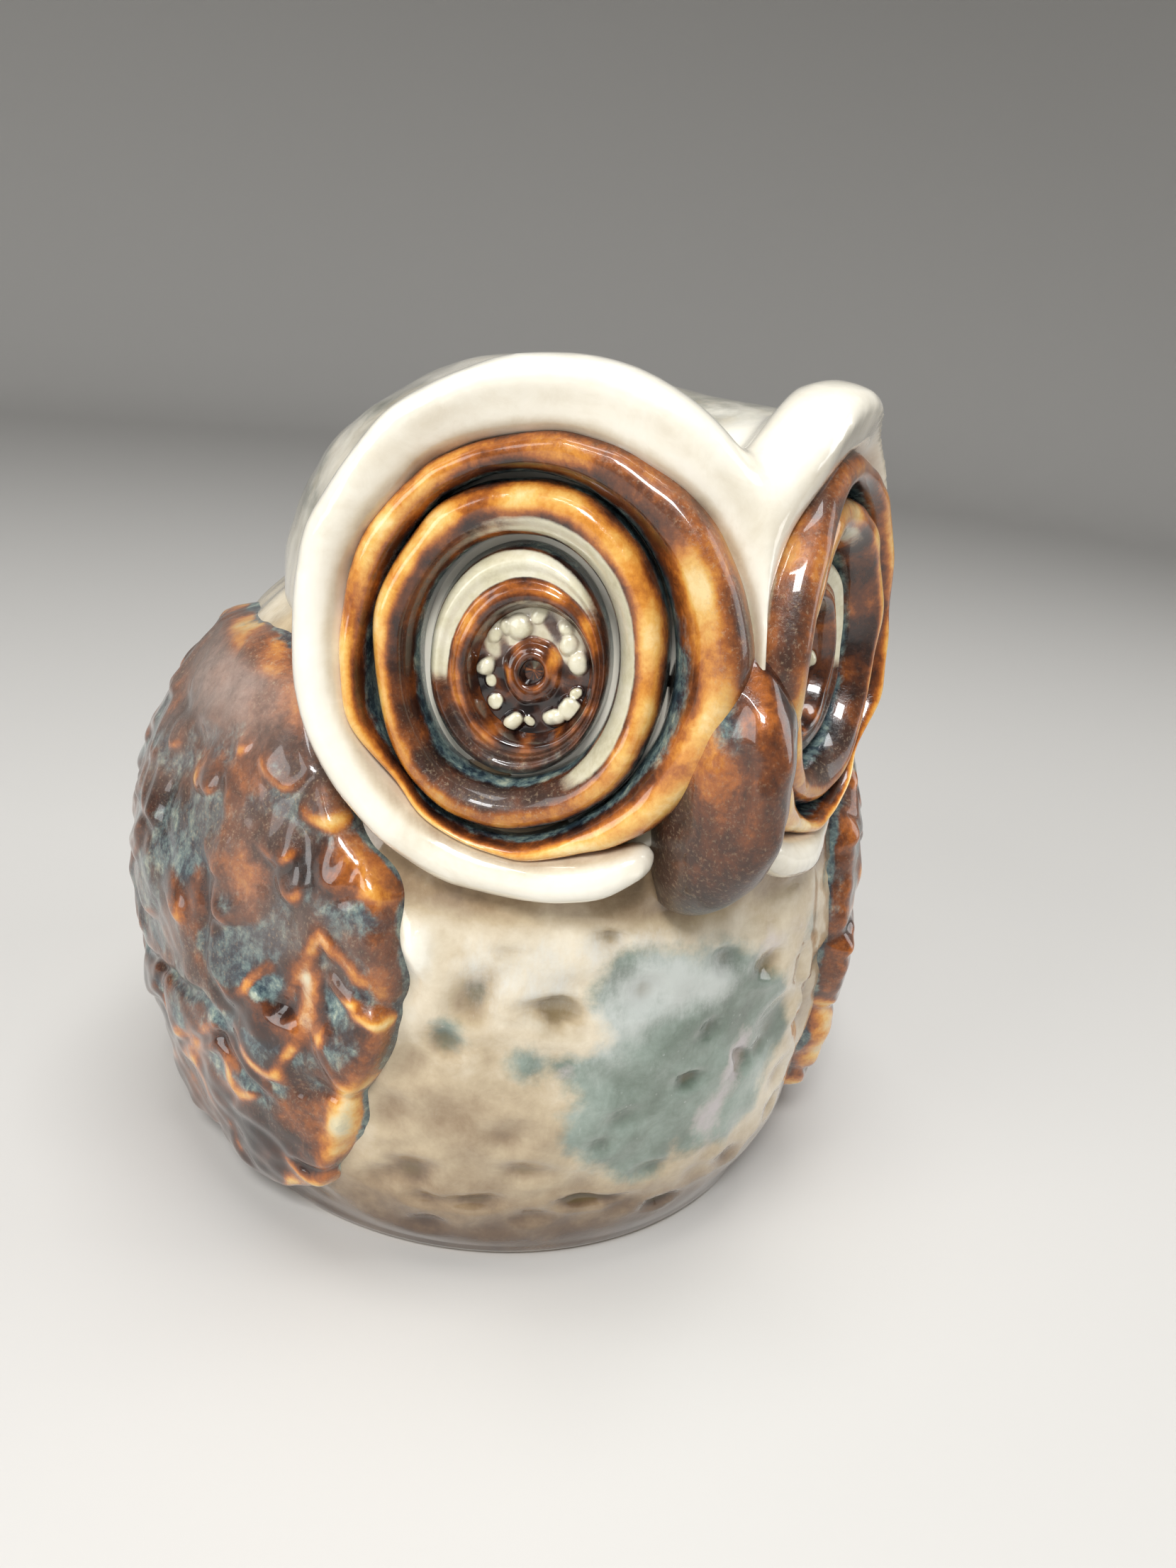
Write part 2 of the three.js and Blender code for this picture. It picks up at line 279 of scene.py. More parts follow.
def creamRecipe(place):
    hollow = place.attribute("hollow")
    cloud = place.noise(45, 5)
    drift = place.noise(19, 3)
    fine = place.noise(420, 3)
    veins = place.noise(150, 7, 0.7, 0.8)
    pits = place.cells(260).fade(0.12, 0.03) * place.noise(90, 2).fade(0.5, 1.0)
    # painted shade: the hollow value darkens the cream in seams, creases and under the coils
    body = (cloud * 0.2 + drift * 0.14 + veins * 0.09 + fine * 0.03 + hollow * 0.6 + 0.22).colours(
        (0.0, tint(249, 246, 236)), (0.28, tint(237, 231, 215)), (0.5, tint(212, 200, 176)),
        (0.74, tint(168, 146, 120)), (1.0, tint(110, 84, 62)))
    moss = place.attribute("moss") * place.noise(60, 6).fade(-0.5, 0.6)
    mossy = moss.paint(body, place.noise(190, 5).colours((0.0, tint(78, 84, 70)), (0.6, tint(136, 124, 94))))
    return (pits * 0.7).paint(mossy, tint(104, 84, 60)), fine * 0.03 + 0.2, fine * 0.1 - pits * 0.8, 1.0


def bellyRecipe(place):
    hollow = place.attribute("hollow")
    inside = place.attribute("patch")
    edge = inside + place.noise(85, 7, 0.66) * 3.6
    cloud = place.noise(42, 6, 0.6)
    fine = place.noise(380, 4)
    # the tan value carries painted shadow under the face rim and painted shade at the foot, as well as tan
    # clouds of the glaze
    tan = place.attribute("tan")
    patches = place.noise(120, 5, 0.6)
    mottled = place.noise(230, 6, 0.7, 0.5)
    # the dents are painted darker as shade (hollow value), and the glaze also pools olive in the deepest of
    # them
    body = (
        cloud * 0.17 + patches * 0.13 + mottled * 0.07 + fine * 0.03 + hollow * 0.32 + tan * 0.3 + 0.25
    ).colours(
        (0.0, tint(240, 235, 220)), (0.22, tint(222, 210, 186)), (0.42, tint(192, 174, 144)),
        (0.64, tint(150, 128, 100)), (0.82, tint(108, 86, 66)), (1.0, tint(76, 58, 46)))
    sea = (place.noise(60, 6, 0.6) * 0.42 + mottled * 0.16 + fine * 0.05 + hollow * 0.5 + 0.48).colours(
        (0.0, tint(186, 196, 188)), (0.36, tint(146, 160, 150)),
        (0.64, tint(112, 126, 114)), (1.0, tint(74, 84, 72)))
    brushed = place.stretch(1, 1, 0.4).noise(260, 7, 0.75)
    milk = (place.attribute("milk") + place.noise(110, 6, 0.65) * 0.4 + brushed * 0.3).fade(0.15, 1.0)
    sparkle = place.stretch(1, 1, 0.3).noise(1300, 3).fade(0.5, 1.2)
    dots = place.cells(620).fade(0.2, 0.06) * mottled.fade(0.1, 0.5)
    turquoise = (milk * 0.75 + sparkle * 0.2 + dots * 0.4).paint(sea, tint(212, 216, 212))
    lilac = (place.attribute("violet") + place.noise(95, 6, 0.65) * 0.55).fade(0.35, 0.8)
    violet = (edge.fade(-5.5, -0.6) * lilac * 0.6).paint(body, tint(206, 196, 202))
    haze = (place.attribute("haze") + brushed * 0.5 + cloud * 0.25).fade(0.3, 1.15)
    frosty = (haze * 0.7 + sparkle * inside.fade(-9, -2) * 0.35).paint(violet, tint(220, 222, 218))
    covered = (edge.fade(-1.8, 2.2) * (1 - lilac * 0.5)).paint(frosty, turquoise)
    clouded = (edge.fade(-1.8, 2.2) * lilac * 0.6).paint(covered, tint(198, 188, 194))
    olive = (hollow.fade(0.5, 1.1) * 0.55).paint(clouded, tint(112, 98, 60))
    bare = place.attribute("bare")
    clay = (fine * 0.2 + 0.5).colours((0.2, tint(186, 160, 128)), (0.8, tint(160, 132, 102)))
    height = fine * 0.1 + cloud * 0.15 + patches * 0.5 + mottled * 0.2 + bare * place.noise(1500, 2) * 0.4
    return bare.paint(olive, clay), bare * 0.5 + (fine * 0.03 + 0.2), height, 1 - bare


def breakingRecipe(place):
    # an amber glaze that runs thin and golden over edges (rise), pools dark and blue in the grooves (ink),
    # goes cream in places (pale) and has a dull brown bloom (dust); the satin value softens the gloss and
    # paints a greyish sheen into the colour
    rise = place.attribute("rise")
    dust = place.attribute("dust")
    satin = place.attribute("satin")
    cloud = place.noise(95, 6, 0.62, 0.6)
    middle = place.noise(260, 6, 0.7, 0.5)
    streaks = place.stretch(1, 1, 0.7).noise(420, 6, 0.7, 0.4)
    fine = place.noise(760, 5, 0.65)
    depth = rise + cloud * 0.14 + middle * 0.15 + streaks * 0.12 + fine * 0.08
    amber = depth.colours(
        (0.0, tint(22, 14, 14)), (0.16, tint(58, 32, 22)), (0.32, tint(108, 58, 28)),
        (0.47, tint(166, 94, 38)), (0.62, tint(212, 140, 56)), (0.8, tint(234, 184, 98)),
        (1.0, tint(246, 218, 156)))
    blue = (middle * 0.3 + streaks * 0.34 + fine * 0.16 + 0.4).colours(
        (0.08, tint(20, 22, 32)), (0.3, tint(50, 66, 76)), (0.5, tint(104, 124, 122)),
        (0.74, tint(174, 182, 162)))
    pooled = (place.attribute("ink") + place.noise(140, 7, 0.7) * 0.34 + streaks * 0.26).fade(0.4, 0.84)
    wet = pooled.paint(amber, blue)
    cream = (cloud * 0.2 + middle * 0.16 + fine * 0.1 + 0.4).colours(
        (0.1, tint(242, 238, 222)), (0.45, tint(214, 208, 178)), (0.85, tint(152, 138, 98)))
    creamy = (place.attribute("pale") + cloud * 0.16 + middle * 0.16).fade(0.32, 0.7).paint(wet, cream)
    crystals = place.noise(1700, 4, 0.7).fade(0.05, 0.75)
    dusted = (crystals * dust * 0.6).paint(
        (dust * 0.35).paint(creamy, tint(100, 76, 64)), tint(178, 154, 124))
    # painted sheen: a greyish colour laid over the glaze where it is satin
    withSheen = (satin * (0.8 + middle * 0.35 + fine * 0.15)).paint(dusted, tint(164, 146, 136))
    rough = dust * 0.2 + satin * 0.12 + (fine * 0.03 + 0.17)
    return withSheen, rough, middle * 0.16 + fine * 0.16 + crystals * dust * 0.3, 1 - dust * 0.6


def corkRecipe(place):
    grains = place.node("SeparateColor", None, {0: place.cells(420, 1)})
    pits = place.cells(300).fade(0.16, 0.05)
    bark = (grains * 0.5 + place.noise(500, 4) * 0.12 + 0.25).colours(
        (0.2, tint(150, 108, 68)), (0.5, tint(188, 146, 98)), (0.8, tint(212, 176, 128)))
    return pits.paint(bark, tint(78, 50, 30)), grains * 0.1 + 0.75, grains * 0.3 - pits * 0.8, 0.0


glazes = {
    "cream": glazed("creamGlaze", creamRecipe),
    "belly": glazed("bellyGlaze", bellyRecipe),
    "amber": glazed("amberGlaze", breakingRecipe),
    "cork": glazed("pressedCork", corkRecipe),
}
print("glazes mixed")

# ---- the round pot ----
pot = {
    "centreY": 10.5, "halfWidth": 65.4, "frontDepth": 68.0, "backDepth": 65.5, "widestZ": 47.0, "topZ": 116.8,
    "footHalfWidth": 56.8, "wall": 5.5, "neck": 28.0, "footInner": 45.4, "footHollow": 2.5, "hole": 17.0,
    "slices": 410, "loop": 240, "outside": 0.62, "under": 0.2, "inside": 0.17,  # shares of the loop
}
girth = 65.0  # mm along the pot's side for a radian of turn


def potWidth(z):
    down = 1 - np.clip(z / pot["widestZ"], 0, 1)
    low = pot["halfWidth"] - (pot["halfWidth"] - pot["footHalfWidth"]) * down ** 3
    up = np.clip((z - pot["widestZ"]) / (pot["topZ"] - pot["widestZ"]), 0, 1)
    high = pot["halfWidth"] * (1 - up ** 2.4) ** (1 / 2.4)
    return np.where(z < pot["widestZ"], low, high)


def potPlace(turn, z, across):
    # turn is in radians from the front, towards the owl's left
    depth = np.where(np.cos(turn) > 0, pot["frontDepth"], pot["backDepth"]) / pot["halfWidth"]
    return across * np.sin(turn), pot["centreY"] - across * depth * np.cos(turn), z


def alongLine(line, share):
    steps = np.concatenate([[0], np.cumsum(np.hypot(*np.diff(line, axis=0).T))])
    return [np.interp(share * steps[-1], steps, line[:, k]) for k in (0, 1)]


def potLoop(share):
    # down the outside, under the foot, through the hole, up the inside to the neck
    outerZ = 3 + 109.5 * np.cos(np.linspace(0, math.pi / 2, 90))
    outside = np.stack([potWidth(outerZ), outerZ], 1)
    corner = np.linspace(0, math.pi / 2, 9)
    heel = np.stack([potWidth(3.0) - 3 + 3 * np.cos(corner), 3 - 3 * np.sin(corner)], 1)
    inner, low, hole, wall = pot["footInner"], pot["footHollow"], pot["hole"], pot["wall"]
    under = np.array([
        [potWidth(0.0) - 3, 0], [inner + 1, 0], [inner, 0.8], [inner, low - 0.4], [inner - 1, low],
        [hole + 0.8, low], [hole, low + 0.8], [hole, low + wall - 0.8], [hole + 0.8, low + wall]])
    innerZ = low + wall + 97 * np.sin(np.linspace(0, math.pi / 2, 40))
    inside = np.stack([np.maximum(potWidth(innerZ * 1.045) - wall, pot["neck"] - 1), innerZ], 1)
    back = np.array([inside[-1], outside[0]])
    parts = [(outside, pot["outside"]), (np.concatenate([heel, under]), pot["under"]),
             (inside, pot["inside"]), (back, 0.01)]
    r, z, begin = np.zeros_like(share), np.zeros_like(share), 0.0
    for line, portion in parts:
        here = (share >= begin - 1e-9) & (share <= begin + portion + 1e-9)
        r[here], z[here] = alongLine(line, np.clip((share[here] - begin) / portion, 0, 1))
        begin += portion
    return r, z


dents = {"count": 260, "seed": 5, "low": 5.0, "high": 74.0, "small": 2.0, "large": 4.8, "deep": 1.0}
# thumb marks that stand out on the belly: turn, height, half-width, half-height, depth
thumbMarks = [
    (-27, 57, 3.2, 4.4, 1.0), (-31, 49, 2.8, 3.4, 1.1), (-16, 56, 5.2, 2.4, 1.6),
    (-3, 58, 3.0, 3.0, 1.0), (9, 61, 3.2, 3.0, 0.9), (20, 57, 2.6, 2.8, 1.2), (5, 39, 2.4, 2.0, 1.2),
    (16, 38, 2.6, 2.8, 1.2), (-7, 30, 2.0, 2.0, 0.9), (-8, 15, 5.4, 1.6, 1.4), (7, 11, 3.4, 1.8, 1.3),
    (19, 16, 3.4, 2.6, 1.0), (29, 22, 2.6, 3.0, 1.1), (-35, 21, 4.2, 3.0, 1.1),
    (-32, 16, 3.4, 2.0, 0.9), (-25, 16, 4.2, 2.0, 1.0), (-38, 33, 3.0, 3.4, 0.9),
    (-21, 32, 3.6, 3.0, 0.7), (34, 44, 1.6, 6.0, 0.9), (29, 52, 1.6, 7.0, 0.8),
]
dripTurn, dripZ = -35.4, 64.0  # the white drip of glaze by the wing's edge
# ridges the fingers pushed up between the marks, and that drip
thumbRidges = [
    (-33, 58, 2.4, 5.0, 0.5), (-21, 58, 2.6, 5.0, 0.6), (-32, 52, 1.8, 3.6, 0.5),
    (-20, 50, 4.0, 1.8, 0.5), (dripTurn, dripZ, 2.4, 4.6, 2.9), (12, 40, 1.8, 3.8, 0.6),
    (31, 48, 1.6, 8.0, 0.6),
]


def pressField(along, z):
    # how deep the clay is pressed in, with a soft lip pushed up round each mark
    draw = np.random.default_rng(dents["seed"])
    deep = np.zeros_like(z)
    marks = [(math.radians(t) * girth, h, w, v, 1.25 * d) for t, h, w, v, d in thumbMarks]
    marks += [(math.radians(t) * girth, h, w, v, -d) for t, h, w, v, d in thumbRidges]
    for _ in range(dents["count"]):
        w = draw.uniform(dents["small"], dents["large"])
        marks.append((draw.uniform(-205, 205), draw.uniform(dents["low"], dents["high"]), w,
                      w * draw.uniform(0.6, 1.2), draw.uniform(0.3, 1.0) * dents["deep"]))
    for place, height, w, v, d in marks:
        near = (np.abs(along - place) < 3 * w) & (np.abs(z - height) < 3 * v)
        reach = ((along[near] - place) / w) ** 2 + ((z[near] - height) / v) ** 2
        lip = 0.2 if d > 0 else 0.0
        deep[near] += d * (np.exp(-reach ** 1.2) - lip * np.exp(-(np.sqrt(reach) - 1.45) ** 2 / 0.12))
    return deep


# the outline of the blue-green patch, turn and height, and the small pools beside it with their radius
patchOutline = [
    (-9, 65), (-3, 66), (4, 64), (10, 65), (16, 60), (24, 54), (29, 40), (25, 34), (23, 26), (17, 22),
    (13, 24), (8, 22), (5, 26), (4, 20), (-3, 20), (-9, 25), (-13, 32), (-12, 41), (-17, 46), (-12, 48),
    (-9, 51), (-13, 57),
]
strayPools = [(-31, 50, 2.2), (-19, 46, 2.6), (-27, 58, 1.4), (30, 62, 2.0)]


def insideOutline(along, z):
    # how far inside the patch a spot is, in mm, below zero outside it
    corners = np.array([(math.radians(t) * girth, h) for t, h in patchOutline])
    near, inside = np.full_like(z, 1e9), np.zeros(z.shape, bool)
    for (ax, az), (bx, bz) in zip(corners, np.roll(corners, -1, axis=0)):
        share = shareAlong(along, z, ax, az, bx, bz)
        near = np.minimum(near, np.hypot(along - ax - share * (bx - ax), z - az - share * (bz - az)))
        if az != bz:
            crosses = (az > z) != (bz > z)
            inside ^= crosses & (along < (bx - ax) * (z - az) / (bz - az) + ax)
    depth = np.where(inside, near, -near)
    for t, h, r in strayPools:
        depth = np.maximum(depth, r - np.hypot(along - math.radians(t) * girth, z - h))
    return depth


def spotsAt(turn, z, spots):
    # soft spots by turn and height, half-widths in degrees and mm, and strength
    return sum(much * np.exp(-((turn - t) / w) ** 2 - ((z - h) / v) ** 2) for t, h, w, v, much in spots)


def makePot():
    piece, turn, around = startRing("pot", pot["slices"], pot["loop"])
    share = (around / (2 * np.pi)) % 1.0
    r, z = potLoop(share)
    turn = turn - np.pi / 2
    turn = (turn + np.pi) % (2 * np.pi) - np.pi
    along = turn * girth
    skin = (share < pot["outside"]) & (z > 1)
    x, y, _ = potPlace(turn, z, r)
    drift = 0.9 * swell(x, y, z, 9, 6)
    deep = pressField(along + drift, z + 0.7 * drift) * ease(3, 10, z) * (1 - ease(76, 86, z))
    pulls = np.exp(-((np.degrees(turn) - 38) / 9) ** 2) * ease(20, 40, z) * (1 - ease(75, 84, z))
    form = 0.5 * swell(x, y, z, 26, 2) + 0.2 * swell(x, y, z, 8, 3, 16) * ease(6, 14, z)
    form += pulls * 0.45 * swell(x, y, z * 0.15, 6, 4)
    lift = np.where(skin, (form - deep) * ease(1, 7, z), 0)
    x, y, z = potPlace(turn, z, r + lift)
    movePoints(piece, x, y, z)
    front = ease(-0.2, 0.5, np.cos(turn))
    degrees = np.degrees(turn)
    milk = spotsAt(degrees, z, [(-1, 59, 9, 6.5, 1.0), (-12, 51, 7, 6, 0.8), (10, 57, 6, 4, 0.5)])
    haze = spotsAt(degrees, z, [(-18, 60, 9, 8, 0.85), (-28, 62, 4, 5, 0.35), (-6, 67, 10, 3, 0.6)])
    violet = spotsAt(degrees, z, [(11, 31, 5, 7, 0.8), (15, 41, 4, 6, 0.8), (21, 62, 6, 4, 0.9),
                                  (28, 55, 3, 6, 0.6), (-14, 45, 4, 3, 0.7)])
    # painted shadow on the belly's front just under the face rim, and darker towards the foot, partly painted
    # shade; the brown cloud by the wing and the tan on the pulls are the glaze's own colour, and the drip is
    # whitened
    tan = np.maximum(1.3 * front * ease(67, 73, z), 2.4 * (1 - ease(0, 28, z)))
    tan = tan + spotsAt(degrees, z, [(-24, 32, 16, 14, 1.0), (dripTurn, dripZ, 2.2, 4.6, -1.3)]) + 0.5 * pulls
    mark(piece, hollow=ease(0.0, 1.8, deep - form * 0.4), patch=insideOutline(along, z), tan=tan, milk=milk,
         haze=haze, violet=violet, bare=np.where((share > pot["outside"] + 0.02) | (z < 0.6), 1.0, 0.0))
    return finishPiece(piece, glazes["belly"], ["body_shell", "base_slab"])


makePot()
print("pot thrown")

# ---- the head, with the cream coils over the brows and round the eyes ----
# the middle of the owl's left eye, and how far it is turned outwards and tilted up, in degrees
eye = {"x": 23.9, "y": -49.1, "z": 110.7, "splay": 34.9, "tilt": 4.8}
outerCoil = {"x": 0.5, "y": 0.0, "halfWidth": 29.2, "halfHeight": 29.9, "height": 9.0}
head = {
    "flatWidth": 31.0, "flatHeight": 34.0, "flatBack": 7.0, "crownY": 7.0, "crownZ": 107.0,
    "crownWidth": 46.0, "crownDepth": 47.0, "crownHeight": 40.0, "wall": 5.5, "voxel": 0.85, "soften": 9,
    "bridge": (0.0, -50.0, 124.0, 8.0, 11.0, 13.0),
}
rim = {"from": -128.0, "to": 186.0, "sides": 48, "slices": 200, "end": 4.2}
# the coil's section, going round it from its underside: distance out from the eye's edge, and height
rimSides = {
    "round": [-180, -135, -90, -45, 0, 30, 60, 90, 120, 140, 160, 172, 180],
    "side": ([-1.4, 0.3, 3, 5.8, 7.0, 6.7, 5.4, 3.6, 1.9, 0.8, -0.3, -1.1, -1.4],
             [-3.5, -7, -7.8, -6.5, -2, 1.0, 3.1, 3.8, 3.3, 2.5, 1.3, -0.6, -3.5]),
    "brow": ([-1.4, 0.5, 4.6, 8.2, 9.2, 8.9, 7.8, 5.8, 3.6, 1.8, 0.0, -1.1, -1.4],
             [-3.5, -7.5, -8.5, -7, -3.0, 0.8, 3.7, 4.7, 3.5, 2.8, 2.0, 0.2, -3.5]),
    "saddle": ([-1.4, 0.5, 4, 7, 8, 7.6, 6.4, 4.8, 3.0, 1.4, -0.2, -1.1, -1.4],
               [-3.5, -7, -8, -7, -3, 0.2, 1.3, 1.6, 1.6, 1.5, 1.1, -0.4, -3.5]),
}
slot = {"width": 36.0, "height": 5.6, "z": 122.0, "fromY": 30.0, "toY": 70.0}


def fromEye(side, outward, up, out):
    # a place in an eye's own frame, outward to the owl's side, up the face, and straight out of the eye
    splay, tilt = math.radians(eye["splay"]), math.radians(eye["tilt"])
    forward = -np.cos(tilt) * out + np.sin(tilt) * up
    rise = np.sin(tilt) * out + np.cos(tilt) * up
    x = outward * np.cos(splay) - forward * np.sin(splay)
    y = outward * np.sin(splay) + forward * np.cos(splay)
    return side * (eye["x"] + x), eye["y"] + y, eye["z"] + rise


def toEye(x, y, z):
    # the other way, always for the eye on the spot's own side
    splay, tilt = math.radians(eye["splay"]), math.radians(eye["tilt"])
    across, deep, rise = np.abs(x) - eye["x"], y - eye["y"], z - eye["z"]
    outward = across * np.cos(splay) + deep * np.sin(splay)
    forward = deep * np.cos(splay) - across * np.sin(splay)
    return outward, rise * np.cos(tilt) + forward * np.sin(tilt), rise * np.sin(tilt) - forward * np.cos(tilt)


def headHalf(side, grow):
    disc = start("flatOfEye", bpy.ops.mesh.primitive_circle_add, vertices=72, radius=1.0)
    x, y, _ = pointsOf(disc).T
    wide, tall = (head["flatWidth"] + grow) * x, (head["flatHeight"] + grow) * y
    movePoints(disc, *fromEye(side, wide, tall, np.full_like(x, grow - head["flatBack"])))
    ball = start("crownOfHead", bpy.ops.mesh.primitive_uv_sphere_add, segments=48, ring_count=24, radius=1.0)
    x, y, z = pointsOf(ball).T
    movePoints(ball, x * (head["crownWidth"] + grow), y * (head["crownDepth"] + grow) + head["crownY"],
               z * (head["crownHeight"] + grow) + head["crownZ"])
    pick(ball, disc)
    bpy.ops.object.join()
    half = bpy.context.object

    def cut():
        bpy.ops.mesh.select_all(action="SELECT")
        bpy.ops.mesh.convex_hull()
        bpy.ops.mesh.select_all(action="SELECT")
        bpy.ops.mesh.bisect(plane_co=(-side * 0.0002, 0, 0), plane_no=(side, 0, 0), use_fill=True,
                            clear_inner=True)

    editing(half, cut)
    return half


def rollCoil(name, sides, slices):
    # a roll of clay: a cylinder cut into slices, with the share of its length, the way round
    # and the reach to its skin
    roll = start(name, bpy.ops.mesh.primitive_cylinder_add, vertices=sides, radius=1.0, depth=1.0,
                 end_fill_type="TRIFAN")
    heights = pointsOf(roll)[:, 2]

    def sliceUp():
        bpy.ops.mesh.select_mode(type="EDGE")
        bpy.ops.mesh.select_all(action="DESELECT")
        bpy.ops.object.mode_set(mode="OBJECT")
        for edge in roll.data.edges:
            a, b = edge.vertices
            edge.select = abs(heights[a] - heights[b]) > 0.5
        bpy.ops.object.mode_set(mode="EDIT")
        bpy.ops.mesh.subdivide(number_cuts=slices)

    editing(roll, sliceUp)
    x, y, z = pointsOf(roll).T
    return roll, z + 0.5, np.arctan2(y, x), np.minimum(np.hypot(x, y), 1.0)


def makeRim(side):
    piece, share, around, reach = rollCoil("rim", rim["sides"], rim["slices"])
    angle = rim["from"] + (rim["to"] - rim["from"]) * share
    brow = ease(12, 75, angle) * (1 - ease(118, 142, angle))
    saddle = ease(118, 142, angle)
    s, high = np.zeros_like(angle), np.zeros_like(angle)
    for kind, weight in (("side", 1 - brow - saddle), ("brow", brow), ("saddle", saddle)):
        s += weight * np.interp(np.degrees(around), rimSides["round"], rimSides[kind][0])
        high += weight * np.interp(np.degrees(around), rimSides["round"], rimSides[kind][1])
    near = np.clip(share * 160 / rim["end"], 0, 1)
    taper = np.sqrt(np.clip(1 - (1 - near) ** 2, 0.0004, 1)) * reach
    thin = (1 - 0.5 * ease(160, 184, angle)) * (0.6 + 0.4 * ease(-128, -98, angle))
    # the coil is pressed flatter on the outer side of the owl's left eye
    flat = ease(95, 60, angle) * ease(-100, -60, angle) * (side > 0)
    s, high = s * (1 - 0.4 * flat), high - 3.8 * flat * ease(-6, 0, high)
    s, high = 2.8 + (s - 2.8) * taper * thin, -2.0 + (high + 2.0) * taper * thin
    a = np.radians(angle)
    outward = outerCoil["x"] + (outerCoil["halfWidth"] + s) * np.cos(a)
    up = outerCoil["y"] + (outerCoil["halfHeight"] + s) * np.sin(a)
    x, y, z = fromEye(1, outward, up, high)
    y += 0.7 * (np.sqrt(x * x + 9) - np.abs(x)) * ease(112, 118, z)
    x = 0.5 * (x + np.sqrt(x * x + 0.1)) - 0.7 * ease(3, 0, x)
    wobble = 0.3 * swell(x, y, z, 22, 21) + 0.12 * swell(x, y, z, 8, 22)
    movePoints(piece, side * x, y + wobble, z + wobble)
    return piece


def headBlank(name, grow, voxel, soften, extras):
    parts = [headHalf(-1, grow), headHalf(1, grow), *extras]
    pick(*parts)
    bpy.ops.object.join()
    blank = bpy.context.object
    blank.name = name
    blank.data.name = name
    modify(blank, "REMESH", mode="VOXEL", voxel_size=voxel * mm)
    modify(blank, "SMOOTH", factor=0.5, iterations=soften)
    return blank


def makeBridge():
    x0, y0, z0, w, d, h = head["bridge"]
    bridge = start("bridge", bpy.ops.mesh.primitive_uv_sphere_add, segments=32, ring_count=16, radius=1.0)
    x, y, z = pointsOf(bridge).T
    movePoints(bridge, x0 + x * w, y0 + y * d, z0 + z * h)
    return bridge


def cutAway(piece, cutter):
    modify(piece, "BOOLEAN", operation="DIFFERENCE", object=cutter, solver="EXACT")
    bpy.data.objects.remove(cutter)


def makeHead():
    piece = headBlank("head", 0.0, head["voxel"], head["soften"], [makeBridge(), makeRim(-1), makeRim(1)])
    x, y, z = (pointsOf(piece) / mm).T
    meeting = ease(15, 5, np.abs(x)) * ease(-36, -44, y) * ease(112, 124, z)
    group = piece.vertex_groups.new(name="meeting")
    for i in np.nonzero(meeting > 0.02)[0]:
        group.add([int(i)], float(meeting[i]), "REPLACE")
    modify(piece, "SMOOTH", factor=0.8, iterations=60, vertex_group="meeting")
    piece.vertex_groups.clear()
    x, y, z = (pointsOf(piece) / mm).T
    away = np.stack([x, y - 5, (z - 108)], 1)
    away /= np.linalg.norm(away, axis=1)[:, None]
    form = 0.5 * swell(x, y, z, 30, 12) + 0.12 * swell(x, y, z, 9, 13)
    form *= ease(-44, -30, y)
    movePoints(piece, x + away[:, 0] * form, y + away[:, 1] * form, z + away[:, 2] * form)
    cutAway(piece, headBlank("headHollow", -head["wall"], 2.0, 4, []))
    neck = start("neckCut", bpy.ops.mesh.primitive_cylinder_add, vertices=64, radius=pot["neck"] * mm,
                 depth=0.06, location=(0, 0.008, 0.072))
    cutAway(piece, neck)
    cutter = start("slotCut", bpy.ops.mesh.primitive_cube_add, size=1.0)
    x, y, z = pointsOf(cutter).T
    y = np.where(y > 0, slot["toY"], slot["fromY"])
    movePoints(cutter, x * slot["width"], y, z * slot["height"] + slot["z"])
    modify(cutter, "BEVEL", width=2.6 * mm, segments=5, affect="EDGES")
    cutAway(piece, cutter)
    x, y, z = (pointsOf(piece) / mm).T
    outward, up, out = toEye(x, y, z)
    across = outward - outerCoil["x"]
    a = np.arctan2((up - outerCoil["y"]) / outerCoil["halfHeight"], across / outerCoil["halfWidth"])
    coilReach = np.hypot(outerCoil["halfWidth"] * np.cos(a), outerCoil["halfHeight"] * np.sin(a))
    edge = np.hypot(across, up) - coilReach
    # painted shade in the cream: darker at the seam with the eye's coil, below the lower part of the rim
    # coil, and in the valley between the brows. The cream is also darker along the brow coil and towards the
    # back of the head.
    facing = ease(-10, -6, out)
    seamShade = np.exp(-((edge - 0.2) / 1.0) ** 2) * facing
    brow = np.exp(-((edge - 3.6) / 1.8) ** 2) * facing * ease(0.2, 0.9, np.sin(a))
    under = ease(0.5, -2.5, out) * facing * ease(6, 7.4, edge) * ease(-0.2, -0.8, np.sin(a))
    valleyShade = np.exp(-(x / 5) ** 2) * ease(122, 136, z) * ease(150, 142, z) * ease(-40, -50, y)
    lower = ease(4.2, 6.6, edge) * facing * ease(-0.3, -0.9, np.sin(a)) * (0.6 + 0.5 * swell(x, y, z, 9, 14))
    hollow = 0.55 * seamShade + 0.22 * brow + 0.6 * under + 0.25 * lower + 0.25 * valleyShade + 0.2 * ease(-40, -20, y)
    moss = ease(-46, -34, y) * ease(104, 128, z) * (1 - facing * ease(12, 9, edge))
    mark(piece, hollow=hollow, moss=moss)
    nodes = ["head_shell", "face_rim_right", "face_rim_left"]
    return finishPiece(piece, glazes["cream"], nodes)


makeHead()
print("head joined")

# ---- the coils of the eye ----
innerCoil = {"x": 3.8, "y": -1.9, "halfWidth": 21.0, "halfHeight": 25.3, "height": 8.4}
socket = {"x": 4.4, "y": -2.4, "halfWidth": 14.2, "halfHeight": 17.9}
ovalKeys = ("x", "y", "halfWidth", "halfHeight")


def around(a, centre, width):
    # 1 near an angle in degrees, fading on both sides of it
    off = (np.degrees(a) - centre + 180) % 360 - 180
    return np.exp(-(off / width) ** 2)


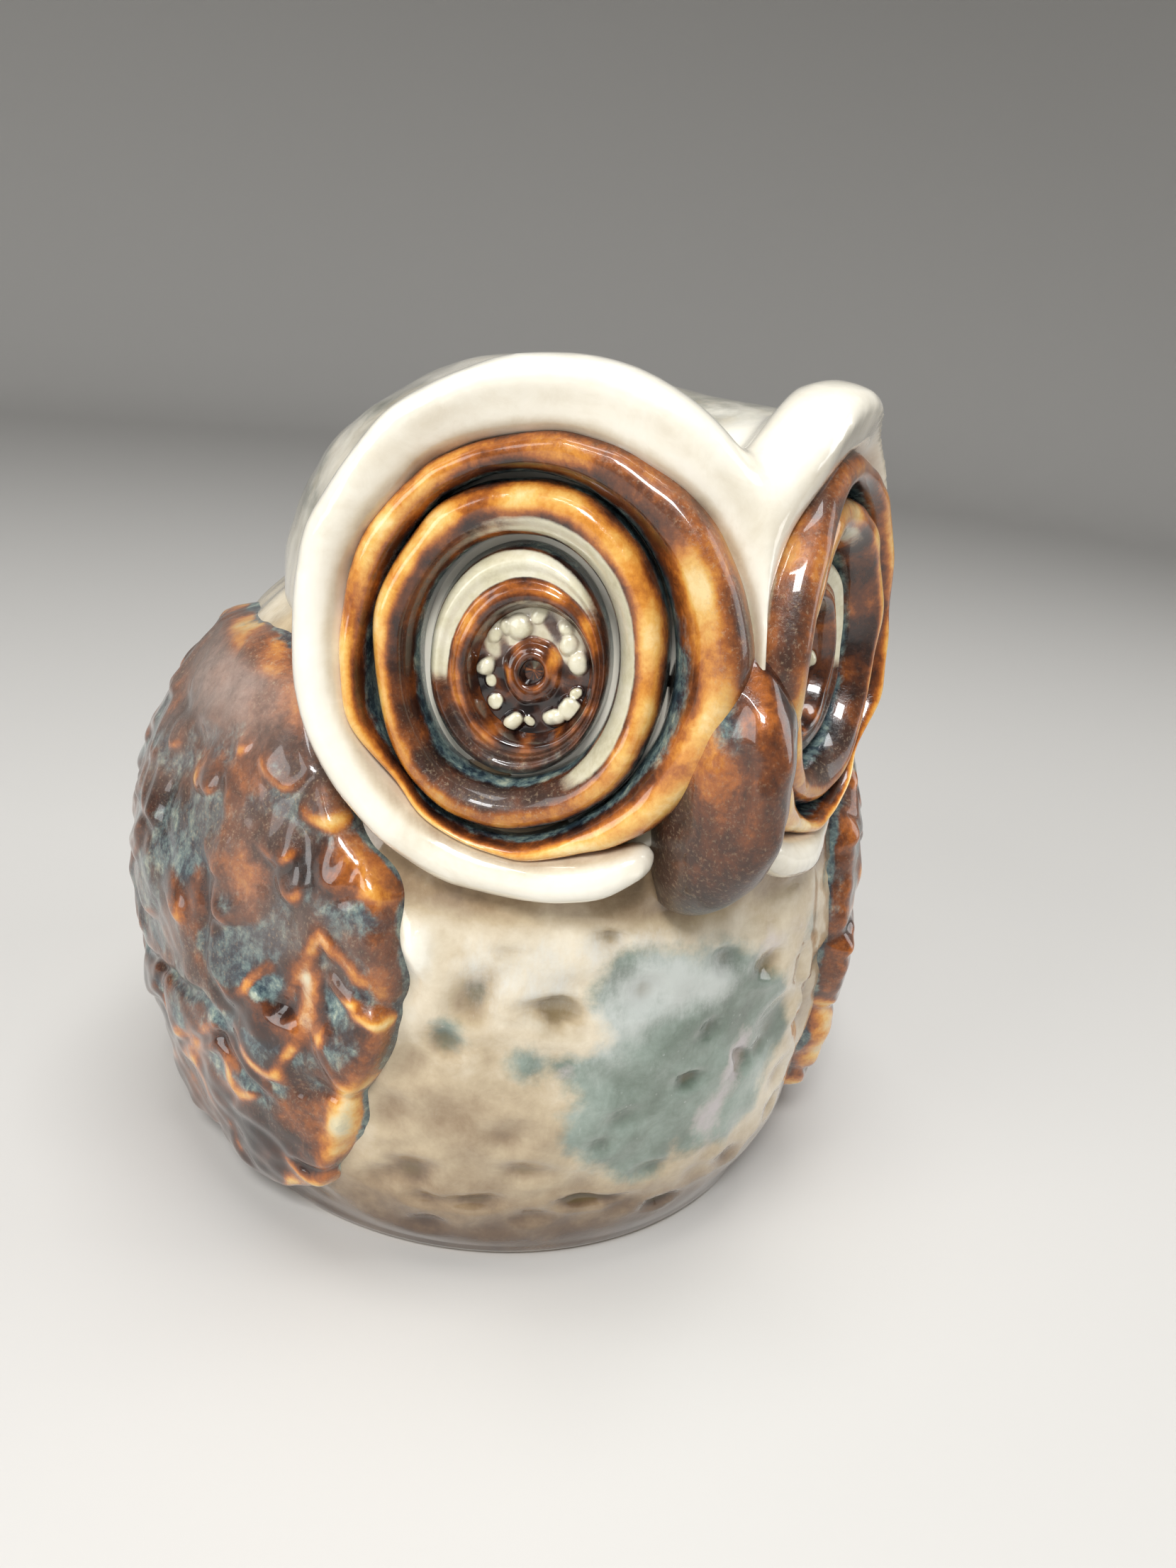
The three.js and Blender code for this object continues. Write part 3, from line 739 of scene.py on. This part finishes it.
def layRing(side, name, inner, outer, height, crest, bulge, seed):
    piece, a, b = startRing(name, 280, 64)
    share = (0.5 + 0.5 * np.cos(b)) ** (np.log(crest(a)) / np.log(0.5))
    top = np.clip(np.sin(b), 0, 1) ** bulge
    middle = {key: inner[key] + (outer[key] - inner[key]) * share for key in ovalKeys}
    outward = middle["x"] + middle["halfWidth"] * np.cos(a)
    up = middle["y"] + middle["halfHeight"] * np.sin(a)
    wobble = 0.38 * swell(outward, up, 0 * up, 18, seed) + 0.09 * swell(outward, up, 0 * up, 7, seed + 1)
    drag = 1 + wobble / 32
    rise = np.where(np.sin(b) > 0, top * height(a), -0.6)
    movePoints(piece, *fromEye(side, outward * drag, up * drag, rise - head["flatBack"] + wobble * top))
    return piece, a, share


def mottle(a, share, size, seed):
    # patches of thin and thick glaze along a coil
    return swell(25 * np.cos(a) + 3 * share, 25 * np.sin(a), 9 * share, size, seed, 14)


def makeOuterRing(side, name):
    def height(a):
        return outerCoil["height"] + 3.4 * around(a, 162, 48)

    def crest(a):
        return 0.5 + 0.2 * around(a, 160, 50)

    inner = {key: innerCoil[key] + (0.3 if "half" in key else 0) for key in ovalKeys}
    piece, a, share = layRing(side, name, inner, outerCoil, height, crest, 0.46, 31)
    # the glaze pools dark at the top of the nose
    pool = np.clip(around(a, 128, 42) + 0.8 * around(a, 180, 30), 0, 1)
    patches = around(a, 150, 12) * ease(0.25, 0.4, share) * ease(0.75, 0.55, share)
    patches = patches + around(a, 183, 9) * ease(0.3, 0.5, share) * ease(0.9, 0.7, share)
    crestGlow = ease(0.1, 0.45, share) * ease(1.02, 0.75, share)
    rise = 0.26 + 0.42 * crestGlow * (1 - 0.72 * pool) + 0.13 * mottle(a, share, 9, 33) + 0.5 * patches
    rise = rise - 0.14 * around(a, 95, 30) + 0.12 * around(a, -140, 60) * crestGlow
    rise = rise + 0.25 * ease(0.93, 0.99, share)
    streaky = mottle(a, share, 5, 34)
    nose = around(a, 188, 48) * ease(0.36, 0.16, share)
    ink = ease(0.16, 0.0, share) * 0.9 + 0.5 * nose + pool * (0.2 * ease(0.5, 0.1, share) + 0.14 * streaky)
    mark(piece, rise=rise, ink=ink, pale=ease(0.975, 1.0, share) * 0.9,
         dust=pool * ease(0.35, 0.7, share) * 0.7)
    return piece


def makeInnerRing(side, name):
    def height(a):
        return innerCoil["height"] + 0 * a

    def crest(a):
        return 0.58 + 0.06 * around(a, 180, 60)

    piece, a, share = layRing(side, name, socket, innerCoil, height, crest, 0.6, 41)
    wall = ease(0.5, 0.3, share)
    light = np.clip(around(a, 150, 50) + around(a, 195, 40) + 0.5 * around(a, 85, 40), 0, 1)
    low = around(a, -85, 55)
    crestGlow = ease(0.38, 0.6, share) * ease(0.97, 0.8, share)
    rise = 0.33 + 0.4 * crestGlow + 0.14 * mottle(a, share, 9, 43)
    rise = rise - 0.22 * low - 0.12 * around(a, 0, 40) * wall
    groove = ease(0.91, 1.0, share) * (0.9 + 0.2 * mottle(a, share, 5, 44))
    mark(piece, rise=rise, ink=groove + ease(0.12, 0.0, share) * 0.8 + 0.45 * low * ease(0.7, 0.5, share),
         pale=wall * light * ease(0.03, 0.14, share),
         dust=low * ease(0.05, 0.2, share) * ease(0.85, 0.6, share))
    return piece


disc = {
    "x": 4.4, "y": -2.6, "halfWidth": 13.4, "halfHeight": 17.0,
    "recessX": 2.2, "recessY": -3.7, "recessWidth": 8.8, "recessHeight": 9.8,
}


def makeDisc(side, name):
    # the raised ring in the socket, with its round recess
    piece = start(name, bpy.ops.mesh.primitive_uv_sphere_add, segments=240, ring_count=130, radius=1.0)
    x, y, z = pointsOf(piece).T
    share = np.arccos(np.clip(z, -1, 1)) / np.pi
    a = np.arctan2(y, x)
    size = np.interp(share, [0, 0.2, 0.3, 0.8, 1.0], [0, 0.86, 1.0, 2.0, 0])
    rise = curve(share, [0, 0.2, 0.26, 0.33, 0.42, 0.5, 0.56, 0.66, 0.74, 0.8, 1.0],
                 [0.4, 0.5, 1.2, 3.8, 4.3, 3.7, 3.9, 4.4, 2.8, 0, -0.8])
    low = around(a, -90, 60)
    rise = rise - 1.0 * low * ease(0.5, 0.6, share) * ease(0.8, 0.7, share)
    inner, outer = np.clip(size, 0, 1), np.clip(size - 1, 0, 1)
    over = share > 0.8

    def reachOf(recessReach, discReach):
        return np.where(over, discReach * size / 2, recessReach * inner + (discReach - recessReach) * outer)

    width = reachOf(disc["recessWidth"], disc["halfWidth"])
    tall = reachOf(disc["recessHeight"], disc["halfHeight"])
    outward = disc["recessX"] + (disc["x"] - disc["recessX"]) * np.where(over, 1, outer) + width * np.cos(a)
    up = disc["recessY"] + (disc["y"] - disc["recessY"]) * np.where(over, 1, outer) + tall * np.sin(a)
    wobble = 0.26 * swell(outward, up, 0 * up, 9, 51) * ease(0.28, 0.4, share)
    movePoints(piece, *fromEye(side, outward, up, rise - head["flatBack"] + 0.2 + wobble))
    upperSide = np.clip(around(a, 90, 58) + around(a, 20, 44), 0, 1)
    creamArc = ease(0.49, 0.55, share) * ease(0.77, 0.7, share) * upperSide
    creamArc = creamArc * ease(-0.75, 0.2, np.sin(a + 0.1))
    lip = ease(0.36, 0.42, share) * ease(0.54, 0.48, share)
    rise = 0.24 + 0.3 * lip * (0.6 + 0.4 * np.cos(a - 0.6)) + 0.12 * mottle(a, share, 7, 53)
    wall = ease(0.38, 0.33, share) * around(a, 90, 60)
    ink = 0.55 * low * ease(0.45, 0.6, share) + ease(0.72, 0.79, share) + 0.3 * ease(0.36, 0.3, share)
    mark(piece, rise=rise, ink=ink, pale=creamArc + 0.5 * wall,
         dust=0.9 * low * ease(0.38, 0.5, share) + 0.4 * wall)
    return piece


rosette = {"width": 8.5, "tall": 9.5, "beads": 15, "reach": 6.7, "bead": 1.65, "disc": 4.4, "hole": 1.3}


def makeRosette(side, name):
    # the beads lie in a ring round a small disc with a hole
    piece = start(name, bpy.ops.mesh.primitive_uv_sphere_add, segments=220, ring_count=170, radius=1.0)
    x, y, z = pointsOf(piece).T
    share = np.arccos(np.clip(z, -1, 1)) / np.pi
    a = np.arctan2(y, x)
    spread = np.clip(np.where(share < 0.9, share / 0.9, (1 - share) / 0.1), 0, 1)
    px, py = rosette["width"] * spread * np.cos(a), rosette["tall"] * spread * np.sin(a)
    radius = np.hypot(px, py * rosette["width"] / rosette["tall"])
    draw = np.random.default_rng(61)
    beadHeight, beadShare = np.zeros_like(px), np.zeros_like(px)
    for i in range(rosette["beads"]):
        turn = (i + draw.uniform(-0.35, 0.35)) / rosette["beads"] * 2 * np.pi
        reach, size = rosette["reach"] + draw.uniform(-0.7, 0.6), rosette["bead"] * draw.uniform(0.65, 1.25)
        lean, slim = draw.uniform(0, np.pi), draw.uniform(0.75, 1.0)
        dx, dy = px - reach * np.cos(turn), py - reach * 1.12 * np.sin(turn)
        longWay = dx * np.cos(lean) + dy * np.sin(lean)
        shortWay = (dy * np.cos(lean) - dx * np.sin(lean)) / slim
        off = np.hypot(longWay, shortWay) / size
        ball = np.sqrt(np.clip(1 - off ** 2, 0, 1)) * size * draw.uniform(0.45, 0.85)
        beadHeight = softMax(beadHeight, ball, 0.25)
        beadShare = np.maximum(beadShare, ease(1.15, 0.5, off))
    wobbly = radius + 0.25 * swell(px, py, 0 * px, 4, 62)
    disk = ease(rosette["disc"] + 0.2, rosette["disc"] - 0.8, wobbly)
    disk = disk + 0.55 * np.exp(-((radius - 2.3) / 0.6) ** 2)
    hole = 2.0 * ease(rosette["hole"] + 0.4, rosette["hole"] - 0.5, wobbly)
    height = 0.5 + softMax(beadHeight, disk, 0.35) - hole + 0.12 * swell(px, py, 0 * px, 2.4, 63)
    height = height * ease(0.9, 0.86, share) - 0.3 * ease(0.86, 0.9, share)
    outward, up = disc["recessX"] + px, disc["recessY"] + py
    movePoints(piece, *fromEye(side, outward, up, height + 0.5 - head["flatBack"]))
    onDisc = ease(rosette["disc"] + 0.3, rosette["disc"] - 0.6, wobbly)
    patches = swell(px, py, 0 * px, 4.5, 64)
    rise = 0.06 + onDisc * (0.22 + 0.36 * ease(-0.2, 0.9, patches))
    rise = rise - 0.4 * ease(rosette["hole"] + 0.8, rosette["hole"], radius)
    upper = ease(-0.2, 0.7, np.sin(a)) * (1 - onDisc)
    milky = swell(px, py, 0 * px, 3.0, 65)
    mark(piece, rise=rise + 0.24 * upper + 0.1 * milky,
         ink=(0.36 * (1 - onDisc) + 0.1 * upper) * (1 - 0.5 * beadShare),
         pale=(beadShare * 0.8 + 0.6 * upper * (1 - beadShare) + 0.2 * milky) * (1 - onDisc), dust=0 * px,
         satin=0.3 * upper * (1 - beadShare))
    return piece


# what each coil or bead ring of an eye is called, how it is made, its slot and the plain part it replaces
eyePieces = [
    ("outerRing_", makeOuterRing, "amber_glaze", "eye_outer_ring_"),
    ("innerRing_", makeInnerRing, "amber_glaze", "eye_inner_ring_"),
    ("eyeDisc_", makeDisc, "eye_glaze", "eye_disc_"),
    ("rosette_", makeRosette, "bead_glaze", "pupil_"),
]
for side, name in bothSides:
    for title, make, slotName, node in eyePieces:
        finishPiece(make(side, title + name), glazes["amber"], [node + name])
print("eyes coiled")

# ---- the beak ----
beak = {
    "z": [71.0, 72.5, 76.0, 81.0, 88.0, 96.0, 103.0, 109.0, 113.0, 116.0, 118.0],
    "half": [1.8, 3.8, 5.4, 6.7, 7.9, 8.5, 8.5, 7.9, 6.6, 4.4, 1.6],
    "front": [-58.5, -61.5, -66.0, -70.3, -74.0, -75.2, -74.7, -72.9, -69.8, -66.0, -62.0],
    "back": -48.0,
}


def makeBeak():
    piece = start("beakDrop", bpy.ops.mesh.primitive_uv_sphere_add, segments=200, ring_count=150, radius=1.0)
    x, y, z = pointsOf(piece).T
    a = np.arctan2(y, x)
    low, high = beak["z"][0], beak["z"][-1]
    height = low + (high - low) * (0.5 + 0.5 * z)
    full = np.sqrt(np.clip(1 - z ** 2, 0, 1)) ** 0.35
    half = curve(height, beak["z"], beak["half"])
    front = curve(height, beak["z"], beak["front"])
    depth, middle = (beak["back"] - front) / 2, (beak["back"] + front) / 2
    px = half * np.sign(np.cos(a)) * np.abs(np.cos(a)) ** 1.05 * full
    py = middle + depth * np.sin(a) * full
    flank = np.exp(-((height - 98) / 9) ** 2) * np.exp(-((np.degrees(a) + 50) / 15) ** 2)
    flank += np.exp(-((height - 98) / 9) ** 2) * np.exp(-((np.degrees(a) + 130) / 15) ** 2)
    px, py = px - np.sign(px) * 1.3 * flank, py + 0.8 * flank
    wobble = 0.35 * swell(px, py, height, 18, 71) + 0.14 * swell(px, py, height, 6, 72)
    movePoints(piece, px + np.cos(a) * wobble, py + np.sin(a) * wobble, height)
    crest = ease(-60, -73, py)
    rust = np.exp(-((height - 100) / 10) ** 2) * ease(-58, -68, py)
    patches = ease(0.2, 1.2, swell(px, py, height, 12, 73))
    glow = ease(98, 110, height) * (0.1 + 0.16 * swell(px, py, height, 7, 74))
    rise = 0.07 + 0.04 * crest + 0.16 * rust + 0.2 * patches * ease(86, 96, height)
    mark(piece, rise=rise + glow - 0.1 * ease(84, 74, height),
         ink=0.75 * np.exp(-((height - 107) / 7) ** 2) * np.exp(-((np.abs(px) - 5.5) / 2) ** 2), pale=0 * px,
         dust=ease(116, 94, height) * (0.7 + 0.3 * ease(-66, -58, py)) * (1 - 0.3 * rust))
    return finishPiece(piece, glazes["amber"], ["beak"])


makeBeak()
print("beak set")

# ---- the wings ----
wing = {
    "slab": 3.6, "top": 112.0, "bottom": 0.0, "from": 31.0, "to": 152.0, "wide": 26, "tall": 22, "finer": 11,
    "seed": 8, "degree": 1.13,  # mm along the pot's side for a degree of turn
}
wingFront = ([6, 14, 24, 42, 60, 73, 84, 96, 102], [58, 47.5, 43.5, 40, 37.5, 40, 49, 62, 76])
wingBack = ([9, 20, 36, 54, 72, 86, 94, 100], [84, 110, 132, 142, 141, 134, 122, 104])
# broad lobes at the front and foot of the wing: turn, height, half-width and half-height in mm, thickness
broadLobes = [
    (77, 30, 8, 9, 4.0), (90, 22, 9, 8, 3.6), (66, 24, 7, 8, 3.8), (58, 15, 8, 7, 3.8),
    (49, 22, 6.6, 9, 4.2), (76, 36, 9, 8, 4.6), (60, 34, 7.5, 8, 4.4), (55, 43, 7.5, 8.5, 4.9),
    (41.5, 47, 6.2, 8.2, 5.0),
]
# short raised tips seen over the rest: turn, height, half-width, and how golden
featherTips = [
    (67, 88, 3.2, 0.9), (58, 88, 4.6, 0.7), (50, 82, 4.4, 0.9), (74, 80, 3.0, 0.7), (56, 76, 4.0, 0.9),
    (46, 74, 3.4, 0.6), (54, 69, 3.6, 0.9), (67, 70, 4.4, 0.5), (40, 73, 3.0, 0.3), (76, 58, 4.0, 0.4),
    (62, 62, 4.2, 0.5), (48, 63, 3.4, 0.4), (61, 51, 4.8, 0.8), (84, 70, 4.2, 0.4), (90, 60, 4.4, 0.4),
    (40, 55, 3.6, 0.9), (44, 57, 3.0, 1.0), (84, 84, 3.6, 0.6),
]
# furrows between the lobes: turn and height of both ends, width, depth
furrows = [
    (92, 37, 76, 42, 0.9, 1.6), (76, 42, 65, 40, 0.9, 1.3), (48, 62, 45, 50, 1.6, 0.9),
    (48, 62, 53, 50, 1.4, 0.9), (48, 62, 38, 55, 1.2, 0.8), (77, 26, 66, 37, 0.9, 1.1),
    (36, 50, 36, 40, 1.2, 1.4), (66, 36, 56, 30, 1.0, 1.0), (50, 35, 40, 38, 1.1, 1.1),
    (52, 20, 45, 19, 1.4, 1.5), (70, 80, 66, 55, 1.8, 0.8), (80, 78, 78, 55, 2.0, 0.8),
]

# an upside-down V of gold with a tongue under it, and the golden lobe near the foot with its dark drop
goldStrokes = [
    (47.7, 64, 52.8, 50, 1.3, 0.85), (47.7, 64, 41.4, 58.7, 1.3, 0.85), (50, 55, 49, 46, 2.4, 1.1),
    (43, 37, 44.5, 25, 2.1, 1.1), (58.4, 51.5, 55.5, 55, 1.2, 0.7),
]
darkDrops = [(48, 25.5, 51, 26.5, 1.4, 1.0)]


def strokesAt(turn, z, strokes):
    # brush strokes between two places, with a half-width in mm and a strength
    total = np.zeros_like(z)
    for t0, h0, t1, h1, width, much in strokes:
        along, across = (t1 - t0) * wing["degree"], (turn - t0) * wing["degree"]
        up, rise = h1 - h0, z - h0
        share = np.clip((across * along + rise * up) / (along ** 2 + up ** 2), 0, 1)
        off = np.hypot(across - share * along, rise - share * up) / width
        total = np.maximum(total, much * np.exp(-off ** 2))
    return total


def wingRelief():
    # the thickness of the wing over a flat map, in mm: along the turn and up
    degree = wing["degree"]
    s, z = np.meshgrid(np.arange(20, 160, 0.25) * degree, np.arange(-4, 114, 0.25), indexing="ij")
    turn = s / degree
    edge = np.minimum(turn - curve(z, *wingFront), curve(z, *wingBack) - turn) * degree
    edge = np.minimum(edge, np.minimum(z - 6.5, 98.5 - z) * 1.2)
    scallop = 0.9 * swell(s, z, 0 * s, 14, 86)
    edge = edge + scallop
    # the wing stands out most behind the elbow
    broad = 2.6 * np.exp(-((turn - 94) / 22) ** 2 - ((z - 64) / 26) ** 2)
    relief = (wing["slab"] + broad + 0.6 * swell(s, z, 0 * s, 20, 87)) * ease(-1.2, 3.4, edge)
    relief = relief - 2.6 * ease(0.3, -2.5, edge)
    tips = np.zeros_like(relief)
    warpS, warpZ = s + 1.5 * swell(s, z, 0 * s, 11, 88), z + 1.5 * swell(s, z, 0 * s, 11, 89)
    draw = np.random.default_rng(wing["seed"])
    small = [(t, h, w, g, 1.0) for t, h, w, g in featherTips]
    for i, height in enumerate(np.arange(88, 16, -9.0)):
        half = 4.6 + 0.2 * i
        for place in np.arange(88 + (i % 2) * half * 0.9, 150, 2 * half / degree):
            t, h = place + draw.uniform(-1.5, 1.5), height + draw.uniform(-1.5, 1.5)
            if curve(np.array([h]), *wingBack)[0] - t > 4:
                small.append((t, h, half * draw.uniform(0.85, 1.1), draw.uniform(0.1, 0.7), 1.0))
    for turnAt, height, w, v, thick in broadLobes:
        reach = np.sqrt(((warpS - turnAt * degree) / w) ** 2 + ((warpZ - height) / v) ** 2)
        cover = ease(1.12, 0.78, reach) * ease(-1.5, 1.5, edge)
        lipGlow = np.exp(-((reach - 0.84) / 0.12) ** 2) * ease(3, -2, (warpZ - height))
        relief = relief * (1 - cover) + (thick * (1 - 0.22 * reach ** 2) + 0.45 * lipGlow) * cover
        tips = tips * (1 - cover) + lipGlow
    for turnAt, height, w, gold, lift in sorted(small, key=lambda one: one[1]):
        # the tip is a small tongue, thickest and brightest along its lower edge
        across, down = (warpS - turnAt * degree) / w, (height - warpZ) / w
        reach = np.sqrt(across ** 2 + np.maximum(down, 0) ** 2 * 1.3 + (np.minimum(down, 0) / 2.6) ** 2)
        cover = ease(1.1, 0.72, reach) * ease(-1.0, 2.0, edge)
        relief = relief + cover * lift * (0.3 + 0.75 * ease(-1.6, 0.8, down))
        lipGlow = np.exp(-((reach - 0.78) / 0.2) ** 2) * ease(-0.1, 0.5, down) * gold
        tips = np.maximum(tips * (1 - 0.5 * cover), lipGlow)
    for t0, h0, t1, h1, width, deep in furrows:
        ax, ay, bx, by = t0 * degree, h0, t1 * degree, h1
        share = shareAlong(warpS, warpZ, ax, ay, bx, by)
        off = np.hypot(warpS - ax - share * (bx - ax), warpZ - ay - share * (by - ay)) / width
        relief = relief - deep * np.exp(-off ** 2)
        tips = tips * (1 - 0.8 * np.exp(-off ** 2))
    reach = np.sqrt(((turn - 82) / 21) ** 2 + ((z - 92) / 8.5) ** 2)
    cover = ease(1.15, 0.7, reach)
    relief = relief * (1 - cover) + (5.2 - 1.0 * reach ** 2) * cover
    tips = tips * (1 - cover) + 0.2 * cover * ease(0.7, 0.98, reach)
    return s[:, 0] / degree, z[0], relief, tips


def blurred(field, cells):
    kernel = np.hanning(cells * 2 + 3)[1:-1]
    kernel /= kernel.sum()

    def spreadOut(line):
        return np.convolve(np.pad(line, cells, mode="edge"), kernel, "valid")

    return np.apply_along_axis(spreadOut, 1, np.apply_along_axis(spreadOut, 0, field))


def readMap(turns, heights, field, turn, z):
    i = np.clip((turn - turns[0]) / (turns[1] - turns[0]), 0, len(turns) - 1.001)
    j = np.clip((z - heights[0]) / (heights[1] - heights[0]), 0, len(heights) - 1.001)
    i0, j0 = i.astype(int), j.astype(int)
    u, v = i - i0, j - j0
    near = field[i0, j0] * (1 - v) + field[i0, j0 + 1] * v
    far = field[i0 + 1, j0] * (1 - v) + field[i0 + 1, j0 + 1] * v
    return near * (1 - u) + far * u


def makeWing(side, name):
    piece = start(name, bpy.ops.mesh.primitive_grid_add, x_subdivisions=wing["wide"],
                  y_subdivisions=wing["tall"], size=2.0)

    def thicken():
        bpy.ops.mesh.select_all(action="SELECT")
        bpy.ops.mesh.extrude_region_move(TRANSFORM_OT_translate={"value": (0, 0, 1)})

    editing(piece, thicken)
    selectFaces(piece, lambda face: face.center.z > 0.99)
    bpy.ops.object.mode_set(mode="EDIT")
    bpy.ops.mesh.subdivide(number_cuts=wing["finer"])
    bpy.ops.object.mode_set(mode="OBJECT")
    u, v, layer = pointsOf(piece).T
    turn = wing["from"] + (wing["to"] - wing["from"]) * (0.5 + 0.5 * u)
    z = wing["bottom"] + (wing["top"] - wing["bottom"]) * (0.5 + 0.5 * v)
    turns, heights, relief, tips = wingMap
    fine, broad = blurred(relief, 5), blurred(relief, 15)
    lift = readMap(turns, heights, fine, turn, z)
    ridge = readMap(turns, heights, np.clip((fine - broad) * 0.8, -0.6, 0.6), turn, z)
    tip = readMap(turns, heights, blurred(tips, 3), turn, z)
    x, y, _ = potPlace(np.radians(turn) * side, z, potWidth(z))
    wobble = 0.25 * swell(x, y, z, 12, 81) + 0.12 * swell(x, y, z, 4.5, 82)
    across = potWidth(np.clip(z, 0, 112)) + np.where(layer > 0.5, lift + wobble * ease(-0.5, 1.5, lift), -3.6)
    movePoints(piece, *potPlace(np.radians(turn) * side, z, across))
    pools = swell(x, y, z, 8, 83, 14)
    cap = np.exp(-((turn - 82) / 19) ** 2 - ((z - 91.5) / 7) ** 2)
    edge = ease(1.6, 0.4, lift) * ease(-1.5, 0.0, lift)
    lowRust = ease(34, 22, z)
    broken = np.clip(0.5 + 0.5 * swell(x, y, z, 6, 84, 14), 0, 1.2)
    rise = 0.2 + 0.3 * ridge + 0.62 * tip * broken + 0.12 * np.clip(swell(x, y, z, 9, 92, 12), 0, 2)
    rise = rise - 0.04 * lowRust + 0.08 * swell(x, y, z, 20, 90)
    rise = rise + 0.34 * ease(94.5, 98, z) * ease(0.2, 0.9, broken) - 0.06 * cap
    ink = (0.5 + 0.36 * pools - 0.5 * ridge - 0.8 * tip) * (1 - cap) * (1 - 0.7 * lowRust) + 0.6 * edge
    gold = strokesAt(turn, z, goldStrokes) * (0.7 + 0.4 * broken) * (1 - strokesAt(turn, z, darkDrops))
    # painted sheen: the wing's cap and broad patches are painted greyish where the satin glaze shines
    sheen = 0.22 * np.clip(swell(x, y, z, 17, 93), 0, 1.2)
    satin = 0.9 * cap * ease(98, 95, z) + sheen * (1 - lowRust) * (1 - tip)
    dust = 0.5 + 0.4 * swell(x, y, z, 15, 91) + 0.5 * cap - 0.8 * tip - 0.3 * lowRust - gold
    mark(piece, rise=rise + 0.4 * gold, ink=ink * (1 - np.clip(gold, 0, 1)), pale=0.46 * gold,
         dust=np.clip(dust, 0, 1), satin=np.clip(satin - gold, 0, 0.9))
    return piece


wingMap = wingRelief()
for side, name in bothSides:
    finishPiece(makeWing(side, "feathers_" + name), glazes["amber"], ["wing_" + name])
print("wings pressed")

# ---- the cork in the base ----
cork = {"low": 3.4, "length": 17.0, "wide": 16.6, "narrow": 15.1, "y": 10.5}


def makeCork():
    piece = start("cork", bpy.ops.mesh.primitive_cylinder_add, vertices=96, radius=1.0, depth=1.0)
    modify(piece, "BEVEL", width=0.05, segments=4, limit_method="ANGLE")
    x, y, z = pointsOf(piece).T
    share = z + 0.5
    radius = cork["wide"] + (cork["narrow"] - cork["wide"]) * share
    pock = 1 - 0.012 * np.abs(swell(x * 16, y * 16, z * 17, 3, 91))
    movePoints(piece, x * radius * pock, cork["y"] + y * radius * pock, cork["low"] + share * cork["length"])
    finishPiece(piece, glazes["cork"], ["stopper"], body="stopper")
    bpy.ops.object.shade_smooth_by_angle(angle=math.radians(40))


makeCork()
print("cork pushed in")

# ---- floor, light and camera ----
studio = {
    "floor": 1.15, "curve": 0.55, "lens": 27.04, "cameraPlace": (-89.49, -190.57, 154.89),
    "yaw": 27.863, "pitch": 21.795, "roll": 6.83,
}


def makeFloor():
    # a round floor whose far edge curves up into a plain backdrop
    floor = start("floor", bpy.ops.mesh.primitive_grid_add, x_subdivisions=80, y_subdivisions=80, size=5.6)
    x, y, _ = pointsOf(floor).T
    past = np.maximum(np.hypot(x, y) - studio["floor"], 0)
    movePoints(floor, x / mm, y / mm, (past ** 2 / studio["curve"] - 0.0002) / mm)
    bpy.ops.object.shade_smooth()
    made = bpy.data.materials.new("paleFloor")
    made.use_nodes = True
    shader = made.node_tree.nodes["Principled BSDF"]
    shader.inputs["Base Color"].default_value = tint(206, 204, 200)
    shader.inputs["Roughness"].default_value = 0.7
    floor.data.materials.append(made)


def softBox(name, place, aim, width, height, power, colour=(1, 1, 1)):
    deselect()
    bpy.ops.object.light_add(type="AREA", location=place)
    lamp = bpy.context.object
    lamp.name = name
    lamp.data.shape = "RECTANGLE"
    lamp.data.size = width
    lamp.data.size_y = height
    lamp.data.energy = power
    lamp.data.color = colour
    lamp.rotation_euler = (Vector(aim) - Vector(place)).to_track_quat("-Z", "Y").to_euler()


def makeCamera():
    yaw, pitch, roll = (math.radians(studio[key]) for key in ("yaw", "pitch", "roll"))
    forward = Vector((math.sin(yaw) * math.cos(pitch), math.cos(yaw) * math.cos(pitch), -math.sin(pitch)))
    level = Vector((math.cos(yaw), -math.sin(yaw), 0))
    over = level.cross(forward)
    right = level * math.cos(roll) + over * math.sin(roll)
    up = over * math.cos(roll) - level * math.sin(roll)
    deselect()
    bpy.ops.object.camera_add()
    camera = bpy.context.object
    turned = Matrix((right, up, -forward)).transposed().to_4x4()
    camera.matrix_world = Matrix.Translation(Vector(studio["cameraPlace"]) * mm) @ turned
    camera.data.lens = studio["lens"]
    camera.data.clip_start = 0.01
    bpy.context.scene.camera = camera


makeFloor()
makeCamera()
softBox("leftSide", (-0.8, -0.2, 0.4), (0, 0, 0.07), 0.4, 0.6, 3.0)
softBox("rightSide", (0.75, -0.25, 0.4), (0, 0, 0.07), 0.4, 0.6, 2.0)
softBox("key", (-0.35, -0.6, 0.8), (0, -0.02, 0.08), 0.26, 0.2, 6.0)
softBox("overhead", (0.0, -0.05, 0.95), (0, 0, 0.05), 0.5, 0.3, 4.6)
softBox("lampRow", (-0.3, -0.42, 0.72), (0, -0.03, 0.09), 0.34, 0.012, 0.8)
world = bpy.data.worlds.new("studio")
bpy.context.scene.world = world
world.use_nodes = True
world.node_tree.nodes["Background"].inputs["Color"].default_value = (0.82, 0.84, 0.88, 1)
world.node_tree.nodes["Background"].inputs["Strength"].default_value = 0.22
bpy.context.scene.view_settings.view_transform = "Standard"
